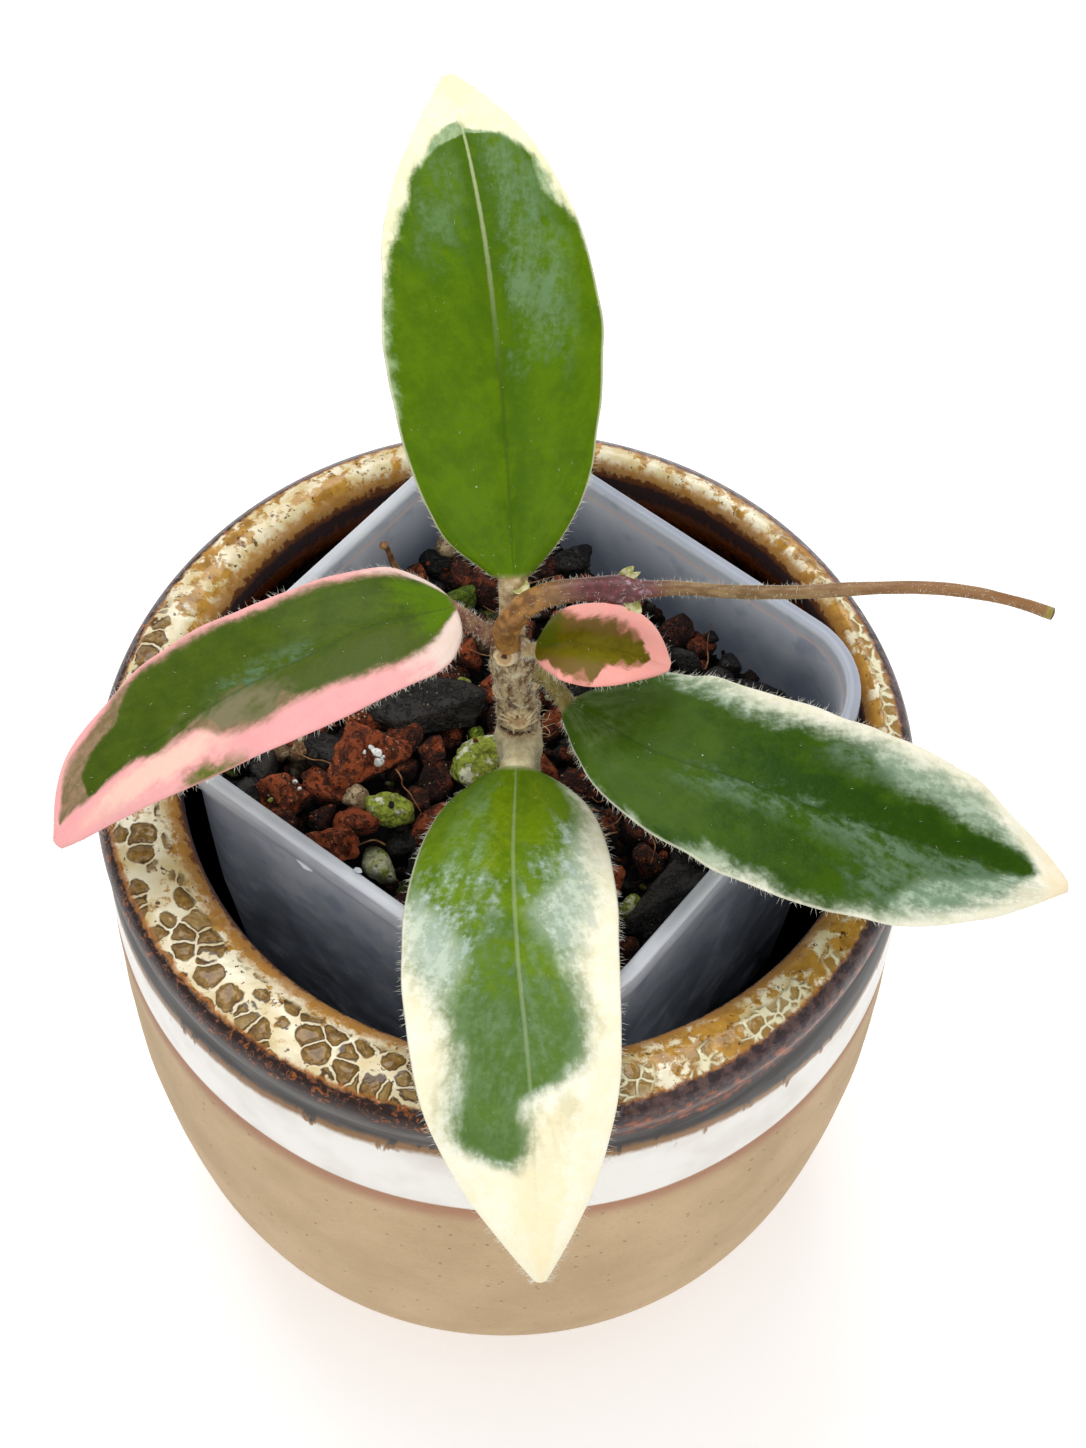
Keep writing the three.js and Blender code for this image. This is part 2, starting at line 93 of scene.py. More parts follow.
# %% [markdown]
# ## Light
# A white sweep under a big soft lamp gives the even light of the photo. The world fills the
# shadows, a large lamp high up behind the plant draws the highlights on glaze and leaves, and
# a weaker one lights the pot from the front. The plain view transform keeps the colours as
# they are mixed here.

# %% World and lamps
AIM = Vector((0, 0, 0.11))  # the lamps face the middle of the rim
scene.view_settings.view_transform = "Standard"
world = bpy.data.worlds.new("soft_room")
scene.world = world
world.use_nodes = True
backdrop = world.node_tree.nodes["Background"].inputs
backdrop["Color"].default_value = (1, 1, 1, 1)
backdrop["Strength"].default_value = 0.62


def lamp(name, place, size, power):
    """A square lamp that faces the plant."""
    data = bpy.data.lights.new(name, "AREA")
    data.size, data.energy = size, power
    thing = bpy.data.objects.new(name, data)
    scene.collection.objects.link(thing)
    thing.location = place
    thing.rotation_mode = "QUATERNION"
    thing.rotation_quaternion = (AIM - thing.location).to_track_quat("-Z", "Y")


lamp("big_soft_lamp", (-0.12, 0.42, 1.05), 0.7, 6.0)
lamp("front_fill", (0.10, -0.80, 0.80), 0.6, 2.4)

# %% [markdown]
# ## Shader sums as plain Python
# A node tree is easier to read when it is written as a formula. Wire wraps one socket, so
# `mask * 2 - 1` adds the Math nodes by itself. Every other node comes from `Wire.add`,
# which sets the node's own options first, since some of them change its sockets. Colours are
# written as a screen shows them, and `pick` turns them into what a shader needs.

# %% Wire
def colour(r, g, b, gain=1.0):
    """A colour from 0 to 255 as light, made brighter or darker by the gain."""
    shares = np.array([r, g, b]) / 255
    linear = np.where(shares < 0.04045, shares / 12.92, ((shares + 0.055) / 1.055) ** 2.4)
    return (*np.minimum(linear * gain, 1).tolist(), 1.0)


class Wire:
    """One output socket of the material in hand."""
    tree = None

    def __init__(self, socket):
        self.socket = socket

    @classmethod
    def add(cls, kind, options=None, inputs=None, out=0):
        """Adds a node and gives back one of its outputs."""
        node = cls.tree.nodes.new(kind)
        for key, value in (options or {}).items():
            if key == "stops":
                node.color_ramp.interpolation = "CARDINAL"
                marks = node.color_ramp.elements
                while len(marks) < len(value):
                    marks.new(1.0)
                for at, (position, level) in zip(marks, value):
                    at.position = position
                    at.color = (level, level, level, 1)
            else:
                setattr(node, key, value)
        for key, value in (inputs or {}).items():
            if isinstance(value, Wire):
                cls.tree.links.new(value.socket, node.inputs[key])
            else:
                node.inputs[key].default_value = value
        return cls(node.outputs[out])

    def math(self, operation, *others):
        values = dict(enumerate((self,) + others))
        return Wire.add("ShaderNodeMath", {"operation": operation}, values)

    def __add__(self, other):
        return self.math("ADD", other)

    def __sub__(self, other):
        return self.math("SUBTRACT", other)

    def __rsub__(self, other):
        return Wire.add("ShaderNodeMath", {"operation": "SUBTRACT"}, {0: other, 1: self})

    def __mul__(self, other):
        return self.math("MULTIPLY", other)

    __radd__, __rmul__ = __add__, __mul__

    def step(self, low, high):
        """0 below low and 1 above high, with a soft rise between. High may be the lower one."""
        return Wire.add("ShaderNodeMapRange", {"interpolation_type": "SMOOTHSTEP"},
                        {0: self, 1: low, 2: high})

    def near(self, level, fade, full):
        """1 where this value lies within full of a level, and 0 from fade on."""
        return (self - level).math("ABSOLUTE").step(fade, full)

    def axis(self, letter):
        """The x, y or z part of a vector."""
        return Wire.add("ShaderNodeSeparateXYZ", {}, {0: self}, out="xyz".index(letter))

    def pick(self, low, high):
        """The colour low where this value is 0, and high where it is 1."""
        low, high = (c if isinstance(c, Wire) else colour(*c) for c in (low, high))
        return Wire.add("ShaderNodeMix", {"data_type": "RGBA"}, {0: self, 6: low, 7: high}, out=2)


# %% Patterns in millimetres
def spot(stretch=(1, 1, 1)):
    """Where a point lies on the object, in millimetres, divided by the stretch."""
    return Wire.add("ShaderNodeMapping", {}, {
        "Vector": Wire.add("ShaderNodeTexCoord", out="Object"),
        "Scale": tuple(1000 / s for s in stretch)})


def mark(name):
    """A value that the mesh carries at its points."""
    return Wire.add("ShaderNodeAttribute", {"attribute_name": name}, out="Fac")


def clouds(at, size, detail=3.0, rough=0.55, twist=0.0):
    """Soft noise from 0 to 1 with blotches of about this size."""
    return Wire.add("ShaderNodeTexNoise", {}, {
        "Vector": at, "Scale": 1 / size, "Detail": detail, "Roughness": rough,
        "Distortion": twist})


def cells(at, size, feature="F1", out="Distance", loose=1.0):
    """A measure of the cells round scattered points, in shares of their size."""
    return Wire.add("ShaderNodeTexVoronoi", {"feature": feature}, {
        "Vector": at, "Scale": 1 / size, "Randomness": loose}, out=out)


def lot(at, size, loose=1.0):
    """A random value for each of these cells."""
    return Wire.add("ShaderNodeSeparateColor", {}, {0: cells(at, size, "F1", "Color", loose)})


def course(value, pairs):
    """A value read off a drawn line through the pairs, each from -0.5 to 1.5."""
    stops = [(at, (level + 0.5) / 2) for at, level in pairs]
    return Wire.add("ShaderNodeValToRGB", {"stops": stops}, {0: value}) * 2.0 - 0.5


def coats(base, *layers):
    """Lays colours over a base one after the other, each through its own mask."""
    for mask, tone in layers:
        base = mask.pick(base, tone)
    return base


# %% A finish from start to end
def start(name):
    """A new material with an empty node tree."""
    material = bpy.data.materials.new(name)
    material.use_nodes = True
    Wire.tree = material.node_tree
    Wire.tree.nodes.clear()
    return material


def close(material, base, roughness, relief=None, depth=0.1, **own):
    """Joins the parts to the shader. Depth is the height of the relief in millimetres."""
    sockets = {"Base Color": base, "Roughness": roughness}
    sockets |= {key.replace("_", " "): value for key, value in own.items()}
    if relief is not None:
        sockets["Normal"] = Wire.add("ShaderNodeBump", {}, {
            "Height": relief, "Distance": depth * MM, "Strength": 1.0})
    shader = Wire.add("ShaderNodeBsdfPrincipled", {}, sockets)
    end = Wire.tree.nodes.new("ShaderNodeOutputMaterial")
    Wire.tree.links.new(shader.socket, end.inputs["Surface"])
    print(material.name, "has", len(Wire.tree.nodes), "nodes")
    return material


def two_tone(name, first, second, size, detail, rough, bumps=None, spread=(0.3, 0.7)):
    """A plain finish for the small pieces: two tones in soft blotches."""
    made, at = start(name), spot()
    return close(made, clouds(at, size, detail).step(*spread).pick(first, second),
                 rough + clouds(at, 1, 1) * 0.1, clouds(at, bumps, 2) if bumps else None)


# %% [markdown]
# ## From points to pieces
# Each piece starts as rows of points. Most are rings joined in a row, as a potter pulls a
# wall or a shoot grows, so one helper joins rings and another turns the points into a mesh
# that rides on the CAD body. A tube is both in one.

# %% Mesh helpers
def ring_faces(rings, count, first=0):
    """Four-sided faces between rings that all have the same number of points."""
    row, column = np.meshgrid(np.arange(rings - 1), np.arange(count), indexing="ij")
    a = first + row * count + column
    b = first + row * count + (column + 1) % count
    return np.stack([a, b, b + count, a + count], -1).reshape(-1, 4).tolist()


def capped(rings, count, first=0):
    """Ring faces with both ends closed."""
    last = first + (rings - 1) * count
    return ring_faces(rings, count, first) + [
        list(range(first, first + count))[::-1], list(range(last, last + count))]


def piece(name, points, faces, material, replaces=(), marks=None):
    """A piece from points in millimetres, with the values that it carries at them."""
    mesh = bpy.data.meshes.new(name)
    mesh.from_pydata((np.asarray(points, float).reshape(-1, 3) * MM).tolist(), [], faces)
    for key, values in (marks or {}).items():
        layer = mesh.attributes.new(key, "FLOAT", "POINT")
        layer.data.foreach_set("value", np.asarray(values, np.float32).ravel())
    mesh.polygons.foreach_set("use_smooth", [True] * len(mesh.polygons))
    mesh.materials.append(material)
    made = bpy.data.objects.new(name, mesh)
    scene.collection.objects.link(made)
    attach(made, "root")
    if replaces:
        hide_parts(*replaces)
    print(name, len(mesh.polygons), "faces")
    return made


def tube(name, rings, material, replaces=(), marks=None):
    """A piece from rings in a row, closed at both ends."""
    faces = capped(*np.shape(rings)[:2])
    return piece(name, rings, faces, material, replaces, marks)


def bundle(name, tubes, material):
    """Many thin tubes, all with the same rings and sides, as one piece."""
    count, rings, sides, _ = np.shape(tubes)
    faces = [face for k in range(count) for face in capped(rings, sides, k * rings * sides)]
    piece(name, tubes, faces, material)


# %% Seeded unevenness
def lumps(points, size, seed=0):
    """Smooth noise from -1 to 1 at many points at once, with lumps of this size."""
    place = np.asarray(points, float) / size + 31.7 * seed
    base = np.floor(place).astype(np.int64)
    part = place - base
    part = part * part * (3 - 2 * part)
    total = 0
    for corner in itertools.product((0, 1), repeat=3):
        x, y, z = np.moveaxis(base + corner, -1, 0)
        mixed = x * 374761393 + y * 668265263 + z * 1440662683 + seed * 974711
        mixed = (mixed ^ (mixed >> 13)) * 1274126177
        value = ((mixed ^ (mixed >> 16)) & 65535) / 32767.5 - 1
        total = total + value * np.prod(np.where(corner, part, 1 - part), -1)
    return total


def knot_pairs(knots, width):
    """The knots that each blend of a Catmull-Rom line runs between."""
    return {1: [(knots[0], knots[1]), (knots[1], knots[2]), (knots[2], knots[3])],
            2: [(knots[0], knots[2]), (knots[1], knots[3])], 3: [(knots[1], knots[2])]}[width]


def smooth_path(points, count):
    """Evenly spaced points and directions on a smooth line through the given points."""
    given = np.array(points, float)
    ends = np.vstack([2 * given[0] - given[1], given, 2 * given[-1] - given[-2]])
    fine = []
    for four in (ends[i:i + 4] for i in range(len(given) - 1)):
        gaps = [np.linalg.norm(b[:3] - a[:3]) ** 0.5 for a, b in zip(four, four[1:])]
        knots = np.concatenate([[0], np.cumsum(gaps)])
        for t in np.linspace(knots[1], knots[2], 40, endpoint=False):
            level = list(four)
            for width in (1, 2, 3):
                level = [(a * (hi - t) + b * (t - lo)) / (hi - lo)
                         for a, b, (lo, hi) in zip(level, level[1:], knot_pairs(knots, width))]
            fine.append(level[0])
    fine.append(given[-1])
    fine = np.array(fine)
    run = np.concatenate([[0], np.cumsum(np.linalg.norm(np.diff(fine[:, :3], axis=0), axis=1))])
    even = np.linspace(0, run[-1], count)
    path = np.stack([np.interp(even, run, fine[:, k]) for k in range(fine.shape[1])], 1)
    along = np.gradient(path[:, :3], axis=0)
    return path, along / np.linalg.norm(along, axis=1, keepdims=True), run[-1]


# %% [markdown]
# ## Stoneware pot
# The pot is thrown on a wheel, so its shape is one drawn profile turned round an axis. Its
# mouth lies a little off that axis, which is why the inside rings shift. The length of
# the profile from the rim's crown is stored at each point, because a glaze is poured and
# runs down from there: its zones follow that length and not the height.

# %% Profile of the round pot
# Each point is its radius, its height, and how much of the shift of the mouth it takes.
OUTSIDE = [
    (0, 0, 0), (RIM - 30.5, 0, 0), (RIM - 29, 0.8, 0), (RIM - 22, 4.8, 0), (RIM - 16, 9.4, 0),
    (RIM - 11.4, 14.2, 0), (RIM - 7.9, 19.5, 0), (RIM - 5.4, 26.5, 0), (RIM - 3.4, 37, 0),
    (RIM - 1.2, 54, 0), (RIM - 0.4, 72, 0), (RIM - 0.3, TOP - 22, 0), (RIM - 0.5, TOP - 12, 0),
    (RIM - 1.4, TOP - 7.5, 0), (RIM - 0.5, TOP - 4.5, 0), (RIM, TOP - 1.5, 0),
    (RIM - 0.8, TOP + 0.8, 0), (RIM - 2.8, TOP + 2, 0)]
INSIDE = [
    (RIM - 5.6, TOP + 2.4, 0.5), (RIM - 8.2, TOP + 1.5, 0.8), (RIM - 9.8, TOP - 0.8, 1),
    (RIM - 10.2, TOP - 4, 1), (RIM - 9, TOP - 12, 1), (RIM - 7.6, TOP - 40, 0.6),
    (RIM - 8, 54, 0.2), (RIM - 9.4, 36, 0), (RIM - 12.6, 22.5, 0), (RIM - 15, 18, 0),
    (RIM - 30, 18, 0), (0.5, 18, 0)]
POT_RINGS, POT_SIDES = 240, 256

profile, _, profile_length = smooth_path(OUTSIDE + INSIDE, POT_RINGS)
profile[:, 1] = np.maximum(profile[:, 1], 0)
profile[0, 0] = 0.3
crown = int(np.argmax(profile[:, 1]))
step = profile_length / (len(profile) - 1)
run = (crown - np.arange(len(profile))) * step
print("profile", round(profile_length), "mm long, crown at ring", crown)

# %% Turning the profile
angle = np.linspace(0, 2 * math.pi, POT_SIDES, endpoint=False)
ring_r, ring_z, ring_shift = (profile[:, k][:, None] for k in range(3))
hand = np.stack([np.cos(angle) * 20, np.sin(angle) * 20, np.zeros(POT_SIDES)], 1)
near_rim = np.clip(1 - np.abs(run) / 12, 0, 1)[:, None]
wobble = 0.35 * near_rim * lumps(hand, 9, 3)
throwing = 0.10 * lumps([(1, 0, z) for z in profile[:, 1]], 3.2, 5)[:, None]
radius = ring_r + np.where(ring_r > 5, wobble + throwing, 0)
pot_rings = np.stack([MOUTH[0] * ring_shift + radius * np.cos(angle),
                      MOUTH[1] * ring_shift + radius * np.sin(angle),
                      ring_z + 0.3 * near_rim * lumps(hand, 14, 8)], -1)
print("rim radius", round(float(np.hypot(pot_rings[..., 0], pot_rings[..., 1]).max()), 2), "mm")

# %% [markdown]
# The glaze is a stack of zones. From the inside: dark amber drips, a rim of cream and ochre
# with brown pebbles of glass at the front left, a purple-brown lip with orange cracks, a grey
# band, a rusty seam, white, a thin red flash where the glaze ends, and bare speckled clay.
# Each zone is laid over the one before it with a mask, and noise makes the borders ragged.

# %% Glaze
PEBBLE = 3.9            # width of a glassy pebble
glaze = start("ash_glaze_on_clay")
at, length = spot(), mark("run")
east, north = at.axis("x"), at.axis("y")
ragged = clouds(at, 1.7, 4, 0.65) - 0.5
slow = clouds(at, 26, 1) - 0.5
fringe = clouds(spot((1, 1, 4)), 0.8, 3, 0.6) - 0.5
wander = Wire.add("ShaderNodeTexNoise", {}, {"Vector": at, "Scale": 0.45, "Detail": 2.0}, out=1)
loose = Wire.add("ShaderNodeVectorMath", {"operation": "MULTIPLY_ADD"}, {
    0: wander, 1: (1.5, 1.5, 1.5), 2: at})

# Cream and ochre.
cream = clouds(at, 6, 2).step(0.35, 0.65).pick((242, 234, 206), (216, 196, 146))
ochre = clouds(at, 2.2, 3).step(0.35, 0.7).pick((192, 144, 62), (150, 108, 44))
front_right = (east * 1.2 - north * 0.6).step(15, 50)
west_front = (east + north * 0.9 + slow * 26).step(-22, -36)
share = (clouds(loose, 4.6, 4, 0.68) + front_right * 0.07 + west_front * 0.03
         - west_front * length.step(-3.4, -0.6) * 0.13)
specks = clouds(at, 0.95, 2, 0.6).step(0.63, 0.68)

# Large glassy pebbles on the outer half of the rim at the front left.
gap = cells(loose, PEBBLE, "DISTANCE_TO_EDGE", "Distance", 0.8)
off_middle = cells(loose, PEBBLE, "F1", "Distance", 0.8)
pebble_area = (west_front * (length + ragged * 1.5).step(-2.4, -1.6)
               * (length + ragged * 1.2).step(4.2, 3.4) * off_middle.step(0.62, 0.56))
pebble = coats(clouds(at, 0.9, 3).step(0.3, 0.7).pick((158, 124, 66), (116, 86, 40)),
               (off_middle.step(0.34, 0.10) * 0.5, (84, 58, 28)),
               (lot(loose, PEBBLE, 0.8).step(0.5, 0.9) * 0.5, (176, 148, 92)),
               (gap.step(0.12, 0.07) * 0.9, (72, 48, 22)),
               (gap.step(0.05, 0.02) * 0.9, (226, 212, 172)))

# A cream net with small olive meshes at the front right.
mesh_gap = cells(loose, 2.2, "DISTANCE_TO_EDGE")
net_area = (front_right * (length + ragged * 2.5).step(-0.8, 0.4)
            * (length + ragged).step(3.8, 3.2) * clouds(at, 6, 2).step(0.40, 0.52))

inner_fringe = length + ragged * 3.4 + fringe * 2.4
rim_colour = coats(cream, (share.step(0.48, 0.56), ochre), (specks * 0.9, (74, 42, 18)),
                   (pebble_area, pebble), (net_area * 0.75, (150, 118, 60)),
                   (net_area * mesh_gap.step(0.16, 0.06), (236, 228, 190)),
                   (inner_fringe.step(-1.6, -4.0) * 0.9, (182, 128, 58)),
                   (inner_fringe.step(-4.6, -5.4), (112, 62, 22)),
                   ((length + ragged * 2.0).step(-5.7, -6.5), (54, 30, 26)),
                   ((length + fringe * 5).step(-8.2, -10.0), (112, 54, 14)),
                   # Further down inside, the glaze is painted almost black: painted shade in the
                   # gap between the pots.
                   ((length + fringe * 9 + slow * 6).step(-11, -16), (14, 6, 3)),
                   ((length + ragged * 1.6).step(2.9, 3.5) * 0.85, (172, 104, 34)))
print("rim zones mixed")

# %% Outer zones of the glaze
right_side = east.step(-14, 30)
lip = (length + ragged * 2.0 + slow * 1.2).step(3.2, 3.9)
lip_split = length + ragged * 2
cracks = clouds(at, 1.3, 4, 0.7, 1.0).step(0.52, 0.64)
purple = clouds(at, 2.0, 3).step(0.4, 0.6).pick((92, 68, 64), (50, 34, 38))
orange = clouds(at, 1.5, 3).step(0.44, 0.66).pick((46, 18, 8), (150, 72, 20))
lip_colour = coats(cracks.pick((38, 16, 9), (152, 78, 16)),
                   (right_side * lip_split.step(7.2, 6.4), purple),
                   (right_side * lip_split.step(6.4, 7.2), orange))

grey_line = length - right_side * 7.4 + ragged * 0.9
grey = clouds(spot((7, 7, 1)), 1.4, 2).step(0.3, 0.75).pick((44, 40, 38), (76, 73, 70))
trickle = clouds(spot((1, 1, 4)), 2.4, 3).step(0.56, 0.76)
white_line = (length - east * east * 0.0016 - east * 0.035 + ragged * 1.2 + slow * 3
              - trickle * 2.6)
rust = white_line.step(14.7, 16.3)
drips = (clouds(spot((1, 1, 1.8)), 1.5, 2).step(0.64, 0.70) * white_line.step(21, 17)
         * clouds(at, 8, 1).step(0.42, 0.6))
milk = coats(clouds(at, 9, 2).step(0.35, 0.8).pick((234, 231, 225), (216, 211, 203)),
             (drips * 0.8, (150, 108, 56)))
glaze_colour = coats(rim_colour, (lip, lip_colour), (grey_line.step(6.9, 7.8), grey),
                     (rust * 0.85, (146, 104, 54)), (white_line.step(16.5, 17.9), milk))
print("outer zones mixed")

# %% Bare clay
GLAZE_END = 32.6        # how far down from the crown of the rim the glaze reaches
clay_line = length - east * 0.045 + slow * 1.2
is_clay = clay_line.step(GLAZE_END, GLAZE_END + 0.6)
is_glaze = 1 - is_clay
speckle = cells(at, 1.9).step(0.17, 0.1) * lot(at, 1.9).step(0.72, 0.78)
clay = coats(clouds(at, 18, 4).step(0.25, 0.75).pick((198, 170, 131), (180, 152, 113)),
             (speckle * 0.55, (112, 84, 56)),
             (clouds(at, 0.7, 2).step(0.5, 0.75) * 0.25, (160, 134, 102)),
             (is_clay * clay_line.step(39.0, 33.6) * 0.75, (160, 104, 78)))
thrown = clouds(loose, 3.0, 2) * 0.7 + clouds(at, 1.1, 2) * 0.15
glaze_relief = (pebble_area * gap.step(0.05, 0.26) * 1.4
                + net_area * mesh_gap.step(0.18, 0.04) * 0.8
                + (thrown + lip * cracks * 0.3) * length.step(9, 5))
clay_relief = clouds(at, 0.55, 3, 0.7) * 0.7 + speckle * -0.6
sheen = 0.12 + length.step(3.5, 6) * 0.22 + grey_line.step(6.5, 8) * (1 - rust) * 0.14
close(glaze, is_clay.pick(glaze_colour, clay),
      is_clay * (clouds(at, 4, 2) * 0.12 + 0.62) + is_glaze * sheen,
      is_clay * clay_relief + is_glaze * glaze_relief, 0.34, Specular_IOR_Level=0.36)

# %% The round pot
tube("stoneware_pot", pot_rings, glaze, ["cache_pot"],
     {"run": np.repeat(run, POT_SIDES)})

# %% [markdown]
# ## Nursery pot
# The square pot is moulded from milky plastic. It has long flat sides, round corners, a
# thicker lip band and a taper that grows towards the foot. Rings of one rounded square,
# each at its own size, give the shell its outside, lip and inside in one go.

# %% Square rings
CORNER_STEPS, SIDE_STEPS = 14, 12
HALF_SQUARE = 38        # from the middle of the pot to a side
PRESSED = 3.6           # how far the left corner is pressed out of true
WALL = [(SQUARE_FOOT, 31.2, 11.0), (80, 36.6, 12.4), (SQUARE_TOP, 38.4, 13.4)]


def true_place(x, y):
    """A place given along the square pot's sides."""
    c, s = math.cos(SQUARE_TURN), math.sin(SQUARE_TURN)
    return np.array([SQUARE_AT[0] + c * x - s * y, SQUARE_AT[1] + s * x + c * y])


def square_place(x, y):
    """The same place with the left corner pressed out."""
    return true_place(x, y + PRESSED * (1 - x / HALF_SQUARE) * (1 + y / HALF_SQUARE) / 4)


def square_ring(half, corner, z):
    """A rounded square round the nursery pot's axis."""
    reach = (half - corner) * math.sqrt(2)

    def bend(side, share):
        """A point on the corner that follows this side."""
        m, a = (side + 0.5) * math.pi / 2, (side + share) * math.pi / 2
        return np.array([reach * math.cos(m) + corner * math.cos(a),
                         reach * math.sin(m) + corner * math.sin(a)])

    ring = []
    for side in range(4):
        ring += [bend(side, k / CORNER_STEPS) for k in range(CORNER_STEPS + 1)]
        a, b = ring[-1], bend(side + 1, 0)
        ring += [a + (b - a) * k / SIDE_STEPS for k in range(1, SIDE_STEPS)]
    return np.stack([*square_place(*np.array(ring).T), np.full(len(ring), float(z))], 1)


def wall_ring(z, inset):
    """A ring of the wall, whose half width and corner hang on the height."""
    heights, halves, corners = zip(*WALL)
    return square_ring(np.interp(z, heights, halves) - inset,
                       np.interp(z, heights, corners) - inset, z)


# %% Shell of the square pot
LIP_FOOT = SQUARE_TOP - 5.5
LIP_HALF, LIP_CORNER = 39.9, 14.9
LIP_OUT = [(1.0, LIP_FOOT - 0.4), (0.5, LIP_FOOT), (0.2, LIP_FOOT + 0.4), (0, LIP_FOOT + 2),
           (0, SQUARE_TOP - 0.7), (0.15, SQUARE_TOP - 0.25), (0.5, SQUARE_TOP),
           (1.1, SQUARE_TOP + 0.1), (1.8, SQUARE_TOP)]
LIP_IN = [(2.1, SQUARE_TOP - 0.3), (2.3, SQUARE_TOP - 0.9), (2.35, SQUARE_TOP - 2.4)]
levels = np.linspace(SQUARE_FOOT + 1, LIP_FOOT - 0.8, 30)
shell = [wall_ring(SQUARE_FOOT, 1)] + [wall_ring(z, 0) for z in levels]
shell += [square_ring(LIP_HALF - inset, LIP_CORNER - inset, z) for inset, z in LIP_OUT + LIP_IN]
shell += [wall_ring(SQUARE_TOP - 3.0, 0.95), wall_ring(LIP_FOOT, 1.15)]
shell += [wall_ring(z, 1.2) for z in levels[:0:-1]]
shell += [wall_ring(SQUARE_FOOT + 2.4, 1.2), wall_ring(SQUARE_FOOT + 1.4, 2.2)]
shell = np.array(shell)
inner = np.arange(len(shell)) > len(levels) + len(LIP_OUT)
sway = lumps(shell, 38, 12) * 0.35 * np.clip((SQUARE_TOP - shell[..., 2]) / 30, 0.25, 1)
away = (shell - [*SQUARE_AT, 0]) * [1, 1, 0]
shell = shell + away / np.linalg.norm(away, axis=-1, keepdims=True) * sway[..., None]
print("shell rings", len(shell), "of", shell.shape[1], "points")

# %% [markdown]
# Thin frosted plastic shows light and cloudy patches near the lip and turns almost black
# further down, where little light gets into the gap. A small share of transmission, the same
# all over, lets the grit darken it from behind, and a faint glow stands for the light that
# such plastic spreads.

# %% Milky plastic
milky = start("milky_plastic")
at, inward = spot(), mark("inside")
height, outward = at.axis("z"), 1 - inward
patch = clouds(at, 9, 3, 0.55, 0.4)
scuffs = clouds(spot((9, 9, 0.7)), 1.4, 3, 0.7).step(0.64, 0.72)
# Painted shade: the lip is painted darker and bluer on the side in shade.
in_shade = Wire.add("ShaderNodeVectorMath", {"operation": "DOT_PRODUCT"},
                    {0: at, 1: (1, 1, 0)}, out=1).step(20, 45)
lip_colour = coats(
    clouds(spot((3, 3, 1)), 2.4, 2).step(0.3, 0.7).pick((208, 211, 217), (184, 188, 197)),
    (in_shade * 0.75, (130, 140, 160)))
# Painted light and shade: highlights along the top edge, the foot of the lip and the inner step,
# and a painted shadow line under the lip.
top_highlight = height.near(SQUARE_TOP - 0.25, 0.5, 0.15) * (0.55 - in_shade * 0.35)
lip_foot_highlight = height.near(LIP_FOOT + 0.1, 0.45, 0.12) * outward
inner_step_highlight = height.near(SQUARE_TOP - 2.8, 0.5, 0.15) * inward
shadow_line = height.near(LIP_FOOT - 0.8, 0.55, 0.2) * outward
# Painted shade: the wall is painted darker further down, and the inside darker and bluer towards
# the grit.
plastic_colour = coats(
    (height + (patch - 0.5) * 34).step(62, 118).pick((52, 55, 62), (200, 205, 214)),
    (patch.step(0.52, 0.7) * 0.5, (226, 228, 232)),
    (clouds(at, 6, 2).step(0.54, 0.7) * 0.4, (92, 110, 150)),
    (scuffs * 0.35, (236, 238, 242)),
    (inward * height.step(SQUARE_TOP - 1, GRIT - 2), (62, 74, 96)),
    (height.step(LIP_FOOT - 0.5, LIP_FOOT + 0.1) * outward, lip_colour),
    (top_highlight, (240, 242, 246)), (lip_foot_highlight, (238, 240, 244)),
    (inner_step_highlight * 0.85, (222, 200, 194)), (shadow_line * 0.6, (96, 102, 116)))
dim = (height + (patch - 0.5) * 46).step(40, 122)
glow = coats(dim.pick((8, 9, 14), (196, 206, 226)),
             (clouds(at, 5, 3).step(0.5, 0.72) * dim * 0.6, (236, 240, 246)))
close(milky, plastic_colour, 0.30 + clouds(at, 3, 2) * 0.14, clouds(at, 4, 2), 0.10,
      Transmission_Weight=0.18, IOR=1.47, Emission_Color=glow, Emission_Strength=0.06)
square_pot = tube("square_nursery_pot", shell, milky, ["nursery_pot"],
                  {"inside": np.repeat(inner, shell.shape[1])})

# %% Drain holes
DRILL = 3.2 * MM        # radius of a drain hole


def drain_drill(x, y):
    """A short drill through the floor of the square pot."""
    made = bmesh.new()
    bmesh.ops.create_cone(made, cap_ends=True, segments=24, radius1=DRILL, radius2=DRILL,
                          depth=10 * MM)
    mesh = bpy.data.meshes.new("drill")
    made.to_mesh(mesh)
    made.free()
    drill = bpy.data.objects.new("drill", mesh)
    scene.collection.objects.link(drill)
    drill.location = (*true_place(x, y) * MM, SQUARE_FOOT * MM)
    return drill


for x, y in ((0, 0), (15, 15), (15, -15), (-15, -15), (-15, 15)):
    drill = drain_drill(x, y)
    cut = square_pot.modifiers.new("drain", "BOOLEAN")
    cut.operation, cut.object, cut.solver = "DIFFERENCE", drill, "EXACT"
    with bpy.context.temp_override(object=square_pot, active_object=square_pot):
        bpy.ops.object.modifier_apply(modifier="drain")
    bpy.data.objects.remove(drill)
print("square pot after drilling:", len(square_pot.data.polygons), "faces")

# %% [markdown]
# ## Stones
# Broken lava is all flat faces and sharp corners, pumice is rounder, and charcoal splits
# along the grain. One recipe makes them: a ball cut by random planes, with soft or hard
# edges, and then roughened. Only the numbers differ.

# %% Ball of points
def ball(divisions):
    """Points and triangles of a ball."""
    made = bmesh.new()
    bmesh.ops.create_icosphere(made, subdivisions=divisions, radius=1)
    made.verts.ensure_lookup_table()
    points = np.array([v.co for v in made.verts])
    faces = np.array([[v.index for v in f.verts] for f in made.faces])
    made.free()
    return points, faces


BALLS = {n: ball(n) for n in (2, 3, 5)}
print("points in a ball:", {n: len(b[0]) for n, b in BALLS.items()})


